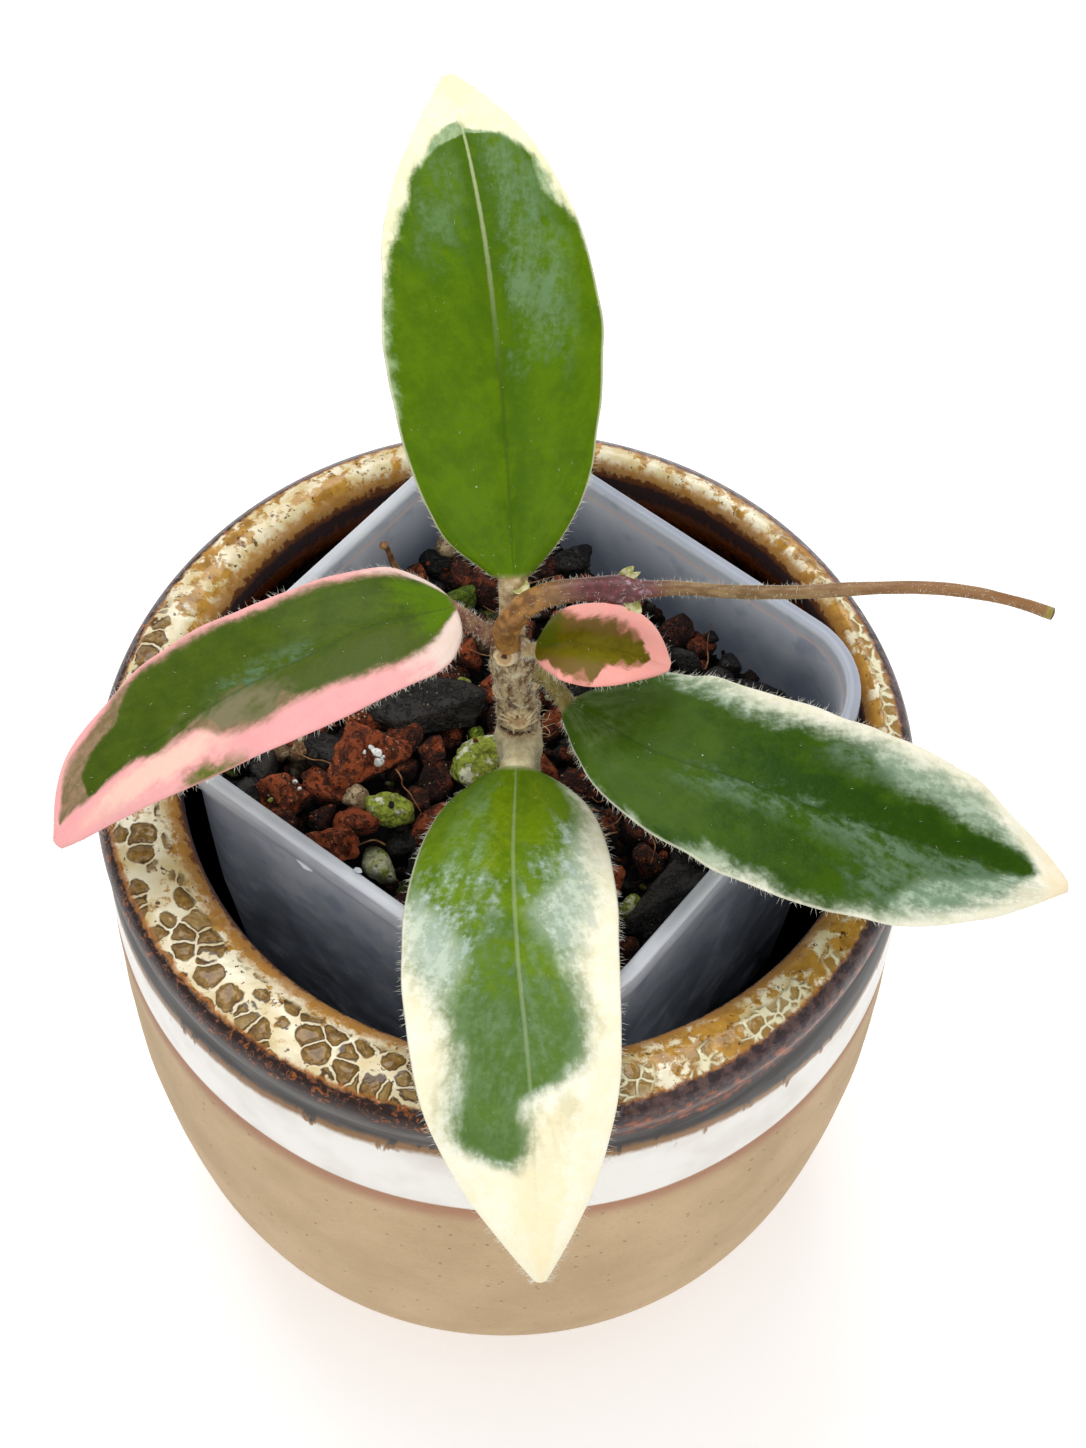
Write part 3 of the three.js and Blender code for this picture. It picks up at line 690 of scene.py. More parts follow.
# %% One stone
def random_turn(rng):
    """A rotation in any direction, from a random quaternion."""
    q = rng.normal(size=4)
    w, x, y, z = q / np.linalg.norm(q)
    return np.array([[1 - 2 * (y * y + z * z), 2 * (x * y - w * z), 2 * (x * z + w * y)],
                     [2 * (x * y + w * z), 1 - 2 * (x * x + z * z), 2 * (y * z - w * x)],
                     [2 * (x * z - w * y), 2 * (y * z + w * x), 1 - 2 * (x * x + y * y)]])


def stone(rng, radii, shape, divisions):
    """A stone round the origin. The shape is its planes, hardness, roughness and pits."""
    planes, hardness, rough, pits = shape
    out, faces = BALLS[divisions]
    normals = rng.normal(size=(planes, 3))
    normals /= np.linalg.norm(normals, axis=1, keepdims=True)
    depth = rng.uniform(0.52, 0.92, planes)
    cut = np.maximum(out @ normals.T, 0) / depth
    size = ((cut ** hardness).sum(1) + 0.85 ** hardness) ** (-1 / hardness)
    seed = int(rng.integers(1, 9999))
    size = size * (1 + rough * lumps(out, 0.45, seed) + rough * 0.6 * lumps(out, 0.19, seed + 1))
    size = size - pits * np.clip(lumps(out, 0.3, seed + 2) - 0.25, 0, 1)
    return out * size[:, None] * np.array(radii) * 1.1, faces


# %% [markdown]
# ### Finishes of the stones
# Every stone gets a tone of its own from a value stored at its points, so one material
# serves a whole heap without looking like one.

# %% Stone finishes
def stone_finish(name, dark, light, moss=None, moss_from=0.5, rough=0.9, pore=1.0, depth=0.35,
                 glint=0.0):
    """A porous stone between two tones, with moss where its noise is above moss_from."""
    made = start(name)
    at, tone = spot(), mark("tone")
    upward = Wire.add("ShaderNodeNewGeometry", out="Normal").axis("z")
    grain = clouds(at, 1.5, 5, 0.72)
    # Painted shade and light: the sunk hollows and pores are painted dark, the tops a little
    # lighter, and edge paints bright flecks as highlights.
    hollow = clouds(at, 2.6, 4, 0.7, 0.6).step(0.50, 0.60)
    edge = clouds(at, 0.9, 3, 0.7).step(0.58, 0.68) * (1 - hollow)
    pores = cells(at, pore).step(0.34, 0.08) * clouds(at, 1.6, 2).step(0.40, 0.56)
    base = coats((grain + (tone - 0.5) * 0.34 + upward * 0.06).step(0.40, 0.68).pick(dark, light),
                 (hollow * 0.7, dark), (edge * 0.45, (*light, 1.7)), (pores * 0.85, (16, 8, 5)))
    if moss:
        cover = (clouds(at, 2.4, 4) + (tone - 0.5) * 0.3).step(moss_from - 0.05, moss_from + 0.05)
        green = clouds(at, 0.7, 3).step(0.35, 0.7).pick(moss, (*moss, 0.55))
        base = cover.pick(base, green)
    # Painted glints: small near-white specks on the stones that are given glint.
    painted_glint = cells(at, 0.8).step(0.24, 0.12) * clouds(at, 2.6, 2).step(0.52, 0.58) * glint
    # Painted shade: stones lower down in the bed are painted almost black, and faces that turn away
    # from the top are painted darker.
    deep_shade = at.axis("z").step(GRIT + 2.8, GRIT - 2.6)
    base = coats(base, (painted_glint * 0.9, (244, 216, 172)), (deep_shade * 0.92, (7, 3, 2)),
                 (upward.step(0.55, -0.3) * 0.55, (12, 6, 4)))
    relief = grain * 1.2 + clouds(at, 0.5, 3, 0.7) * 0.5 - pores * 0.9 - hollow * 1.1
    wet = clouds(at, 1.5, 2).step(0.52, 0.66) * glint
    return close(made, base, rough - wet * 0.65, relief, depth)


RED_LAVA = stone_finish("red_lava", (50, 16, 7), (178, 84, 40), pore=1.1, depth=1.2, glint=1.0)
BLACK_COAL = stone_finish("black_charcoal", (5, 4, 5), (42, 37, 34), rough=0.55, pore=0.7,
                          depth=0.5, glint=0.25)
MOSSY_PUMICE = stone_finish("mossy_pumice", (190, 194, 144), (250, 250, 222), (180, 196, 72),
                            0.53, pore=1.3, depth=0.4)
LIME_MOSS = stone_finish("lime_moss", (128, 150, 14), (186, 204, 62), (96, 120, 6), 0.42,
                         pore=1.5, depth=0.6)
PALE_GRAVEL = stone_finish("pale_gravel", (124, 90, 56), (206, 182, 146), pore=0.8)
DARK_SOIL = stone_finish("dark_soil", (12, 6, 4), (36, 18, 11), pore=1.4, depth=0.5)
WHITE_CRYSTAL = stone_finish("white_crystal", (236, 236, 232), (255, 255, 255), rough=0.4,
                             pore=0.9, depth=0.05)

# %% [markdown]
# ### Named stones
# The eight stones that stand out in the photo keep the places and sizes of their CAD solids.

# %% Named stones
# Name, finish, slot, middle, half sizes and turn of each stone. The shape of a kind is the
# number of its planes, its hardness, its roughness and the depth of its pits.
NAMED = [
    ("lava_stone_large", RED_LAVA, "lava", (-21.8, 3.6, GRIT + 3.2), (5.6, 4.8, 4.6), 0.3),
    ("lava_stone_left", RED_LAVA, "lava", (-34, -3.2, GRIT + 2.2), (4.6, 3.9, 3.7), 1.1),
    ("lava_stone_front", RED_LAVA, "lava", (-26.2, -11, GRIT + 1.8), (4.1, 3.7, 3.4), 0.6),
    ("charcoal_long", BLACK_COAL, "charcoal", (-11, 12.6, GRIT + 2.4), (8.6, 4.2, 3.7), -0.12),
    ("charcoal_front", BLACK_COAL, "charcoal", (24.4, -18.8, GRIT + 2), (7.4, 3.2, 3), 0.75),
    ("pumice_pale", MOSSY_PUMICE, "pumice", (-5.4, 2.8, GRIT + 3.6), (4.7, 4.3, 4.4), 0.5),
    ("pumice_mossy", MOSSY_PUMICE, "pumice", (-17.8, -5.2, GRIT + 2.8), (4.1, 3.7, 3.6), 0.9),
    ("pumice_lime", LIME_MOSS, "lime_pumice", (-7.6, 32, GRIT + 3), (3.8, 3.4, 3.3), 0.2),
]
SHAPES = {"lava": (11, 40, 0.11, 0.30), "charcoal": (9, 30, 0.06, 0.1),
          "pumice": (14, 5, 0.10, 0.16), "lime_pumice": (14, 4, 0.08, 0.35)}
for number, (name, material, slot, centre, radii, turn) in enumerate(NAMED):
    rng = np.random.default_rng(100 + number)
    points, faces = stone(rng, radii, SHAPES[slot], 5)
    c, s = math.cos(turn), math.sin(turn)
    points = points @ np.array([[c, s, 0], [-s, c, 0], [0, 0, 1]]) + centre
    piece(name + ("_fine" if "stone" in name else "_stone"), points, faces.tolist(),
          material, [name], {"tone": np.full(len(points), rng.uniform(0.8, 1.2))})

# %% [markdown]
# ### The bed
# The nursery pot is filled to about a centimetre under the lip. A dark body fills it, and a
# few hundred loose stones are thrown onto it one by one. A stone is kept only where it
# lies clear of the wall, the stem and the stones that came before it.

# %% Body of the bed
bed = [wall_ring(z, inset) for z, inset in (
    (20.0, 2.7), (23.0, 1.5), (50, 1.5), (80, 1.5), (GRIT - 5, 1.5), (GRIT - 3.5, 2.2))]
middle = np.array([*SQUARE_AT, GRIT - 3.2])
bed += [middle + (bed[-1] - middle) * [f, f, 0] for f in np.linspace(0.96, 0.04, 24)]
bed = np.array(bed)
top_part = bed[..., 2] > GRIT - 4
bed[top_part, 2] += 1.1 * lumps(bed[top_part], 4, 2) + 0.5 * lumps(bed[top_part], 1.6, 3)
tube("bed_of_soil", bed, DARK_SOIL, ["substrate"], {"tone": np.full(bed.shape[:2], 0.4)})

# %% Throwing the stones
BED_HALF, BED_CORNER, THROW_HALF = 36.4, 11.0, 36


def clear_of_wall(x, y, radius):
    """Whether a stone lies inside the rounded square of the bed."""
    half = BED_HALF - radius
    over = np.maximum(np.abs([x, y]) - (half - BED_CORNER), 0)
    return max(abs(x), abs(y)) < half and np.hypot(*over) < BED_CORNER


def throw(rng, tries, sizes, spacing, level, avoid):
    """Places of stones that lie apart, as (x, y, z, radius)."""
    kept = []
    for _ in range(tries):
        radius = rng.uniform(*sizes)
        x, y = rng.uniform(-THROW_HALF, THROW_HALF, 2)
        if not clear_of_wall(x, y, radius * 1.05):
            continue
        px, py = square_place(x, y)
        if all((px - q[0]) ** 2 + (py - q[1]) ** 2 > (spacing * (radius + q[3])) ** 2
               for q in kept + avoid):
            kept.append((px, py, level + rng.uniform(-1.0, 1.2), radius))
    return kept


rng = np.random.default_rng(2024)
stem_room = (*STEM_AT, 0, 3.2)
fixed = [(*c, 0.82 * (r[0] + r[1]) / 2) for _, _, _, c, r, _ in NAMED] + [stem_room]
upper = throw(rng, 7000, (2.3, 5.0), 0.76, GRIT + 0.8, fixed)
lower = throw(rng, 3000, (2.2, 3.8), 0.85, GRIT - 3.0, [stem_room])
print("stones on top", len(upper), "and below", len(lower))

# %% Heaps by kind
def heap(name, material, stones, rng, shape, divisions=3, flat=0.72):
    """Joins many stones into one piece that stands for part of the substrate."""
    points, faces, tones, first = [], [], [], 0
    for x, y, z, radius in stones:
        radii = radius * np.array([1.08, rng.uniform(0.7, 1), rng.uniform(flat, 0.95)])
        body, tris = stone(rng, radii, shape, divisions)
        points.append(body @ random_turn(rng).T + (x, y, z))
        faces.append(tris + first)
        tones.append(np.full(len(body), rng.uniform(0, 1)))
        first += len(body)
    piece(name, np.concatenate(points), np.concatenate(faces).tolist(), material,
          ["substrate"], {"tone": np.concatenate(tones)})


def deal(stones, kinds, rng, divisions=3):
    """Deals stones out to the kinds by their shares, and makes a heap of each."""
    shares = np.cumsum([kind[3] for kind in kinds])
    chosen = np.searchsorted(shares, rng.uniform(0, shares[-1], len(stones)))
    for number, (name, material, slot, _, shape) in enumerate(kinds):
        own = [s for s, k in zip(stones, chosen) if k == number]
        heap(name, material, own, rng, shape, divisions)


deal(upper + lower, [("lava_grit", RED_LAVA, "lava", 0.58, (10, 40, 0.11, 0.26)),
                     ("charcoal_grit", BLACK_COAL, "charcoal", 0.21, (8, 34, 0.06, 0.0)),
                     ("pumice_grit", MOSSY_PUMICE, "pumice", 0.11, (20, 6, 0.10, 0.12)),
                     ("lime_grit", LIME_MOSS, "lime_pumice", 0.04, (20, 6, 0.10, 0.2)),
                     ("pale_grit", PALE_GRAVEL, "grit", 0.09, (11, 8, 0.08, 0.0))], rng)

# %% Crumbs
GRAIN = (7, 18, 0.10, 0.0)
held = np.array(upper + lower + [(*c, 0.9 * min(r)) for _, _, _, c, r, _ in NAMED])


def resting(x, y, radius):
    """A crumb's place on top of the stones under it, or on the soil."""
    aside = np.hypot(held[:, 0] - x, held[:, 1] - y) / held[:, 3]
    lift = 0.75 * held[:, 3] * np.sqrt(np.clip(1 - aside ** 2, 0, 1))
    tops = np.where(aside < 0.9, held[:, 2] + lift, 0)
    return x, y, max(tops.max(), GRIT - 2.6) + 0.3 * radius, radius


crumbs = throw(rng, 3600, (0.4, 1.2), 0.9, 0, [(*STEM_AT, 0, 3)])
crumbs = [resting(x, y, radius) for x, y, _, radius in crumbs]
crumbs = [c for c in crumbs if c[2] < GRIT + 1.4 or rng.uniform() < 0.08]
print("crumbs", len(crumbs))
deal(crumbs, [("lava_crumbs", RED_LAVA, "lava", 0.6, GRAIN),
              ("coal_crumbs", BLACK_COAL, "charcoal", 0.22, GRAIN),
              ("moss_crumbs", MOSSY_PUMICE, "pumice", 0.10, GRAIN),
              ("pale_crumbs", PALE_GRAVEL, "grit", 0.08, GRAIN)], rng, 2)
# White pieces: crystals on the large lava stone, while the two on the left stone are painted
# highlights that stand for glints.
CRYSTALS = [(-19.8, 2.2, GRIT + 6.8, 0.75), (-19.5, 0.8, GRIT + 6.4, 0.7),
            (-20.6, 3.0, GRIT + 6.9, 0.45), (-18.9, 1.6, GRIT + 6.3, 0.4),
            (-21.6, 2.2, GRIT + 6.9, 0.35), (-32.0, -2.0, GRIT + 5.0, 0.45),
            (-31.4, -3.2, GRIT + 4.8, 0.35), (-22.2, -7.3, GRIT + 3.4, 0.7)]
heap("white_crystals", WHITE_CRYSTAL, CRYSTALS, rng, (7, 60, 0.01, 0.0), 3, 0.8)

# %% [markdown]
# ## Shoots
# Stem, runner, twig and root fibres are all rods along a line. A side direction is carried
# from ring to ring without twisting, and the surface is pushed in and out with noise where
# the bark is rough.

# %% Rod
def rod(points, rings, sides, rough=None):
    """Rings, shares along and outward directions of a rod through points x, y, z, radius."""
    path, along, _ = smooth_path(points, rings)
    side = np.array([1.0, 0.0, 0.0]) if abs(along[0][0]) < 0.9 else np.array([0.0, 0.0, 1.0])
    turns = np.linspace(0, 2 * math.pi, sides, endpoint=False)
    rows, outs = [], []
    for centre, ahead in zip(path, along):
        side = side - ahead * (side @ ahead)
        side = side / np.linalg.norm(side)
        up = np.cross(ahead, side)
        out = np.cos(turns)[:, None] * side + np.sin(turns)[:, None] * up
        rows.append(centre[:3] + out * centre[3])
        outs.append(out)
    rows, outs = np.array(rows), np.array(outs)
    share = np.linspace(0, 1, rings)[:, None] * np.ones(sides)
    if rough:
        rows = rows + outs * rough(rows)[..., None]
    return rows, share, outs


def rod_piece(name, shape, material, replaces):
    """A rod that carries the share along it at each point."""
    rows, share, _ = shape
    tube(name, rows, material, replaces, {"along": share})


# %% [markdown]
# ### Hairs
# The whole plant is covered with fine pale hairs. Blender's own hair would be lost when the
# model is exported, so each hair is a tiny three-sided spike with a bend in it.

# %% Hair mesh
HAIR = 0.026            # radius of a hair at its root
PALE_HAIR = two_tone("pale_hair", (226, 222, 200), (250, 248, 238), 2, 2, 0.5)


def hairs(name, roots, ways, lengths, slot, rng):
    """Spikes that start at the roots, point the given way and bend a little."""
    count, lengths = len(roots), lengths[:, None]
    ways = ways / np.linalg.norm(ways, axis=1, keepdims=True)
    side = np.cross(ways, rng.normal(size=(count, 3)))
    side /= np.linalg.norm(side, axis=1, keepdims=True)
    other = np.cross(ways, side)
    bend = side * rng.uniform(0.0, 0.5, (count, 1))
    middle = roots + ways * lengths * 0.55 + bend * lengths * 0.12
    tip = roots + ways * lengths * 0.95 + bend * lengths * 0.5
    turns = (np.arange(3) * 2 * math.pi / 3)[None, :, None]
    around = np.cos(turns) * side[:, None] + np.sin(turns) * other[:, None]
    points = np.concatenate([roots[:, None] + around * HAIR,
                             middle[:, None] + around * HAIR * 0.62, tip[:, None]], 1)
    first = np.arange(count)[:, None] * 7
    faces = []
    for k, n in ((0, 1), (1, 2), (2, 0)):
        faces += (first + np.array([k, n, 3 + n, 3 + k])).tolist()
        faces += (first + np.array([3 + k, 3 + n, 6])).tolist()
    piece(name, points, faces, PALE_HAIR)


# %% [markdown]
# ## Leaves
# A hoya leaf is thick and almost flat, with a sunk midrib above and a raised one below. Each
# blade is a row of flat rings along the midrib, with its own half widths on the left and the
# right, measured on the photo. Three values are stored at each point for the colours: how far
# it lies from base to tip, how far across, and whether it is on the upper or the lower face.

# %% Leaf plans
# The half widths are given at these shares of the midrib.
STATIONS = [0, 0.025, 0.08, 0.18, 0.32, 0.5, 0.68, 0.82, 0.92, 0.98, 1]
LEAVES = {
    "leaf_back": dict(
        stalk=[[0.2, 3.5, 140], [0.5, 7, 144.5], [0.6, 9.4, 150]], thick=2,
        midrib=[[0.6, 9.4, 150], [-0.1, 19, 158], [-1.5, 31.8, 167], [-3.7, 48.2, 176],
                [-6.2, 60.6, 181], [-9.5, 73.2, 185]],
        left=[2, 4.6, 9.7, 13.3, 15.6, 16.2, 14.8, 10.7, 5.7, 1.9, 0.5],
        right=[2, 4, 7.6, 11.6, 14.4, 15.7, 13.9, 10.3, 5.8, 2, 0.5], camber=0.03),
    "leaf_left": dict(
        stalk=[[0.5, 3.2, 139.5], [-3.4, 4.8, 142.6], [-8, 6.1, 146]], thick=1.3,
        midrib=[[-8, 6.1, 146], [-13.1, 3.7, 148], [-19.2, 1.3, 149], [-32.4, -4.9, 147],
                [-40.3, -7.3, 143], [-49.9, -11.2, 138], [-58.5, -15.3, 132],
                [-64.9, -21.9, 126]],
        left=[2.4, 5.9, 9.6, 11.1, 11.5, 10.9, 9.2, 7.2, 4.2, 1.7, 0.5],
        right=[2.5, 6.5, 9.3, 10.5, 11.8, 13.3, 12.4, 9.1, 5.1, 1.9, 0.5], camber=0.04),
    "leaf_front": dict(
        stalk=[[1.8, 2, 118.2], [1.8, -2.6, 120.2], [1.3, -7.2, 122]], thick=2.5,
        midrib=[[1.3, -7.2, 122], [1, -25.3, 128], [1.9, -43, 130], [3.2, -55.1, 128],
                [4.2, -66.5, 123], [4.9, -76.9, 116], [5.4, -82.6, 111]],
        left=[2.8, 7.6, 11.5, 13.8, 14.9, 14.2, 12.6, 9, 4.8, 1.7, 0.5],
        right=[2.8, 6.6, 10.1, 13.4, 15.9, 16.8, 15.8, 11.2, 5.3, 1.8, 0.5], camber=0.06),
    "leaf_right": dict(
        stalk=[[1, 3, 136.5], [5.4, 1.6, 135.4], [9.2, -3.9, 136]], thick=1.3,
        midrib=[[9.2, -3.9, 136], [14.6, -8.5, 138], [21.1, -13.1, 139], [32.5, -17.4, 139],
                [49.2, -23, 137], [66.9, -26.5, 132], [80.9, -27.4, 126]],
        left=[2, 6.4, 12, 15.4, 15.9, 16.5, 16.2, 13.2, 8, 3, 0.5],
        right=[1.8, 3.2, 6.4, 10.4, 14.4, 15.6, 14.1, 9.7, 4.7, 1.6, 0.5], camber=0.03),
    "leaf_small": dict(
        stalk=[[0.6, 2.2, 140], [2.6, 1.6, 142.6], [4.4, 0.9, 144]], thick=1,
        midrib=[[4.4, 0.9, 144], [8, 0.4, 146.8], [12, -0.8, 148], [17.6, -2.2, 148],
                [23, -3.6, 146.5]],
        left=[1.4, 3.4, 5, 6.4, 7.3, 7.8, 7.2, 5.6, 3.4, 1.3, 0.5],
        right=[1.4, 2.6, 4, 5.4, 6.8, 7.1, 5.8, 3.8, 2.2, 1, 0.5], camber=0.03),
}
print("leaf widths", {k: max(v["left"]) + max(v["right"]) for k, v in LEAVES.items()})

# %% One leaf
ACROSS = np.array([0, .02, .045, .08, .13, .2, .28, .36, .44, .52, .6, .68, .75, .82, .88, .93,
                   .965, .985, 1])
UPPER = np.concatenate([-ACROSS[:0:-1], ACROSS])
SECTION = np.concatenate([UPPER, UPPER[-2:0:-1]])
SIDE = np.concatenate([np.ones(len(UPPER)), -np.ones(len(UPPER) - 2)])
BLADE_RINGS, STALK_RINGS = 110, 14


def frames(points, spacing, steps=200):
    """Centres, right, upper and forward directions along a line, and its length."""
    path, along, length = smooth_path(points, steps)
    fine = np.linspace(0, 1, steps)
    centre, ahead = (np.stack([np.interp(spacing, fine, rows[:, k]) for k in range(3)], 1)
                     for rows in (path, along))
    ahead /= np.linalg.norm(ahead, axis=1, keepdims=True)
    right = np.cross(ahead, [0, 0, 1])
    right /= np.linalg.norm(right, axis=1, keepdims=True)
    return centre, right, np.cross(right, ahead), ahead, length


def half_widths(plan, side, t, length, seed):
    """The half width on one side, smoothed and a little wavy."""
    bow, place = (np.arccos(1 - 2 * np.array(v)) for v in (STATIONS, t))
    width = np.interp(place, bow, plan[side])
    width = np.convolve(np.pad(width, 4, "edge"), np.ones(9) / 9, "valid")
    return width * (1 + 0.018 * lumps([(x, 0, 50 * (side == "left")) for x in t * length], 5, seed))


def leaf_shape(plan, seed):
    """Rings, marks and frames of a stalk with its blade."""
    t = 0.5 - 0.5 * np.cos(math.pi * np.linspace(0, 1, BLADE_RINGS))
    centre, right, upper, ahead, length = frames(plan["midrib"], t)
    left_width, right_width = (half_widths(plan, side, t, length, seed)[:, None]
                               for side in ("left", "right"))
    width = np.where(SECTION > 0, right_width, left_width)
    offset = SECTION * width
    base = np.clip(1 - t / 0.12, 0, 1)[:, None]
    tip = np.clip((t - 0.9) / 0.1, 0, 1)[:, None]
    half = (0.85 - 0.5 * tip) * (1 - base ** 2) + plan["thick"] * 0.8 * base ** 2
    round_edge = np.sqrt(np.clip(1 - np.abs(SECTION) ** 3.2, 0, 1))
    fold = np.exp(-np.abs(offset) / 2.2) * (1 - base) * (1 - tip) * np.where(SIDE > 0, 0.7, 0.6)
    rise = SIDE * round_edge * half - plan["camber"] * width * SECTION ** 2 - fold
    blade = centre[:, None] + right[:, None] * offset[..., None] + upper[:, None] * rise[..., None]
    puff = lumps(blade, 7, seed + 5) * 0.22 + lumps(blade, 16, seed + 7) * 0.5
    puff = puff * np.abs(SECTION) ** 0.6 * (1 - base)
    blade = blade + upper[:, None] * puff[..., None]

    st = np.linspace(0, 1, STALK_RINGS, endpoint=False)
    s_centre, s_right, s_upper, _, _ = frames(plan["stalk"], st)
    angle = np.arctan2(SECTION, SIDE * np.sqrt(np.clip(1 - SECTION ** 2, 0, 1)))[:, None]
    thick = plan["thick"] * (1 + 0.05 * np.sin(st * 9))[:, None, None]
    stalk = s_centre[:, None] + thick * (s_right[:, None] * np.sin(angle)
                                         + s_upper[:, None] * np.cos(angle))
    rings = STALK_RINGS + BLADE_RINGS
    along = np.concatenate([st - 1.0 - 0.001, t])[:, None] * np.ones(len(SECTION))
    marks = {"along": along, "across": np.tile(SECTION, (rings, 1)),
             "face": np.tile(SIDE, (rings, 1))}
    return np.concatenate([stalk, blade]), marks, (right, upper, ahead, length)


# %% [markdown]
# ### Colours of a leaf
# The green lies on the cream or pink like a map. Each coast is a drawn line, one on each side
# of the midrib, and noise drawn out along the side veins makes it ragged. A second pair of
# lines bounds the grey-green shelf round the green, because the layers of the leaf don't end
# at the same place. Touches are then brushed on: some only on the ground, some only on the
# green, and on top of both the silver bloom, which is partly painted sheen.

# %% Leaf finish
def leaf_finish(name, green_to, shelf_to, greens, rest, shelf, stalk, line, soft, ragged,
                on_ground=(), on_green=(), on_top=(), rib=None):
    """Green on cream or pink, bounded by coasts, with touches brushed over it."""
    made, at = start(name), spot()
    along, across, face = mark("along"), mark("across"), mark("face")
    reach = across.math("ABSOLUTE")
    slant = Wire.add("ShaderNodeCombineXYZ", {}, {
        0: along * 13.0 + reach * 0.9, 1: reach * 6.4 - along * 13.0,
        2: across.math("SIGN") * 9.0 + face})
    streak = clouds(slant, 1.0, 4, 0.62) - 0.5
    blot = clouds(at, 5.0, 4, 0.62) - 0.5
    fine = clouds(at, 1.1, 3, 0.65) - 0.5
    drift = (streak * 0.25 + blot * 0.32 + fine * 0.14) * ragged
    far = along + streak * 0.14 + blot * 0.20 + fine * 0.05
    wide = across + streak * 0.3 + blot * 0.5 + fine * 0.2

    def inside(coasts):
        """Above 0 between the coast on the right and the one on the left."""
        right, left = (course(along, coast) for coast in coasts)
        return (right - across).math("MINIMUM", left + across) + drift

    def touched(ground, touches):
        """Brushes tones on. A patch is solid with brush 0, and the streaks get rarer above it."""
        for tone, (begin, end), (low, high), amount, brush in touches:
            patch = (far.step(begin - 0.06, begin + 0.06) * far.step(end + 0.06, end - 0.06)
                     * wide.step(low - 0.12, low + 0.12) * wide.step(high + 0.12, high - 0.12))
            if brush:
                bristle = streak * 1.5 + fine * 0.8 + blot * 0.4 + 0.5
                patch = patch * bristle.step(brush - 0.3, brush + 0.3)
            ground = (patch * amount).pick(ground, tone)
        return ground

    ground = touched((blot + fine * 0.4 + 0.5).step(0.25, 0.75).pick(*rest), on_ground)
    green = (blot + streak * 0.5 + 0.5).step(0.30, 0.70).pick(*greens[:2])
    green = touched((fine.step(-0.02, 0.2) * 0.25).pick(green, greens[2]), on_green)
    shelf_colour = (streak * 1.4 + fine + 0.5).step(0.3, 0.7).pick(*shelf)
    shelf_mask = inside(shelf_to).step(-1.5 * soft, 1.5 * soft)
    green_mask = inside(green_to).step(-soft, soft)
    # The touches on top are partly silver bloom and partly painted sheen.
    skin = touched(coats(ground, (shelf_mask * 0.9, shelf_colour), (green_mask, green)), on_top)

    # A line along the midrib: painted shade in the crease, except on the front leaf, where it is a
    # pale midrib.
    crease = reach.step(0.03, 0.006) * along.step(0.95, 0.7)
    skin = (crease * line[1]).pick(skin, line[0])
    if rib:
        tone, begin, end, amount = rib
        pale = ((reach + fine * 0.02).step(0.032, 0.008) * along.step(begin, end)
                * along.step(0.94, 0.88))
        skin = (pale * amount).pick(skin, tone)
    flecks = cells(at, 3.4).step(0.05, 0.02) * clouds(at, 4, 1).step(0.58, 0.64)
    skin = coats(skin, (flecks * 0.7, (236, 240, 226)), (reach.step(0.968, 0.998) * 0.6, rest[0]),
                 (face.step(0.2, -0.2) * 0.75, green_mask.pick((214, 206, 168), (140, 156, 92))),
                 (along.step(0.012, -0.012), clouds(at, 1.3, 3).step(0.3, 0.7).pick(*stalk)))
    return close(made, skin, 0.38 + fine * 0.2, fine * 0.35 + blot * 0.8 + streak * 0.5, 0.30,
                 Subsurface_Weight=0.08, Subsurface_Radius=(0.9, 1.0, 0.2),
                 Subsurface_Scale=0.0014, Specular_IOR_Level=0.09)


# %% The front leaf: cream with a green heart
FINISH = {"leaf_front": leaf_finish(
    "cream_leaf_green_heart",
    ([(0, 1.1), (.27, 1.05), (.33, .8), (.38, .6), (.44, .5), (.5, .66), (.54, .62),
      (.6, .58), (.66, .62), (.72, .74), (.76, .7), (.785, .4), (.8, -.1), (.84, -.5),
      (1, -.5)],
     [(0, .85), (.1, .8), (.2, .62), (.27, .52), (.33, .24), (.37, .2), (.42, .36), (.5, .54),
      (.58, .57), (.63, .5), (.66, .28), (.68, -.02), (.74, -.06), (.78, -.12), (.8, -.4),
      (1, -.5)]),
    ([(0, 1.2), (.3, 1.1), (.45, .92), (.5, .75), (.6, .66), (.72, .82), (.77, .76), (.8, .4),
      (.83, -.2), (1, -.5)],
     [(0, .9), (.1, .84), (.2, .76), (.3, .78), (.36, .7), (.42, .62), (.47, .58), (.58, .66),
      (.65, .5), (.69, 0), (.75, -.06), (.8, -.2), (.84, -.5), (1, -.5)]),
    [(102, 132, 0), (80, 112, 8), (124, 152, 40)], [(253, 250, 230), (252, 241, 206)],
    [(184, 202, 184), (108, 136, 92)],
    on_ground=[((253, 232, 180), (.7, 1.1), (-.5, .3), .4, 0)],
    on_green=[((82, 112, 62), (.48, .85), (-.8, .9), .6, 0),
              ((64, 98, 20), (.35, .6), (.02, .5), .5, .4),
              ((132, 150, 4), (.02, .28), (.04, .32), .6, .5),
              ((130, 148, 6), (.03, .2), (-.42, -.1), .5, .5),
              ((136, 166, 116), (.06, .3), (.3, .7), .45, .5)],
    on_top=[((204, 220, 216), (.27, .48), (.4, .95), .85, .62),
            ((196, 212, 206), (.28, .38), (.14, .34), .6, .6),
            ((204, 218, 212), (.14, .44), (-.78, -.4), .75, .64),
            ((190, 208, 202), (.24, .4), (-.5, -.05), .7, .66),
            ((150, 176, 144), (.4, .8), (-.5, .6), .28, .58)],
    stalk=((246, 236, 196), (216, 198, 152)), line=((196, 208, 168), 0.25),
    soft=0.15, ragged=0.7)}

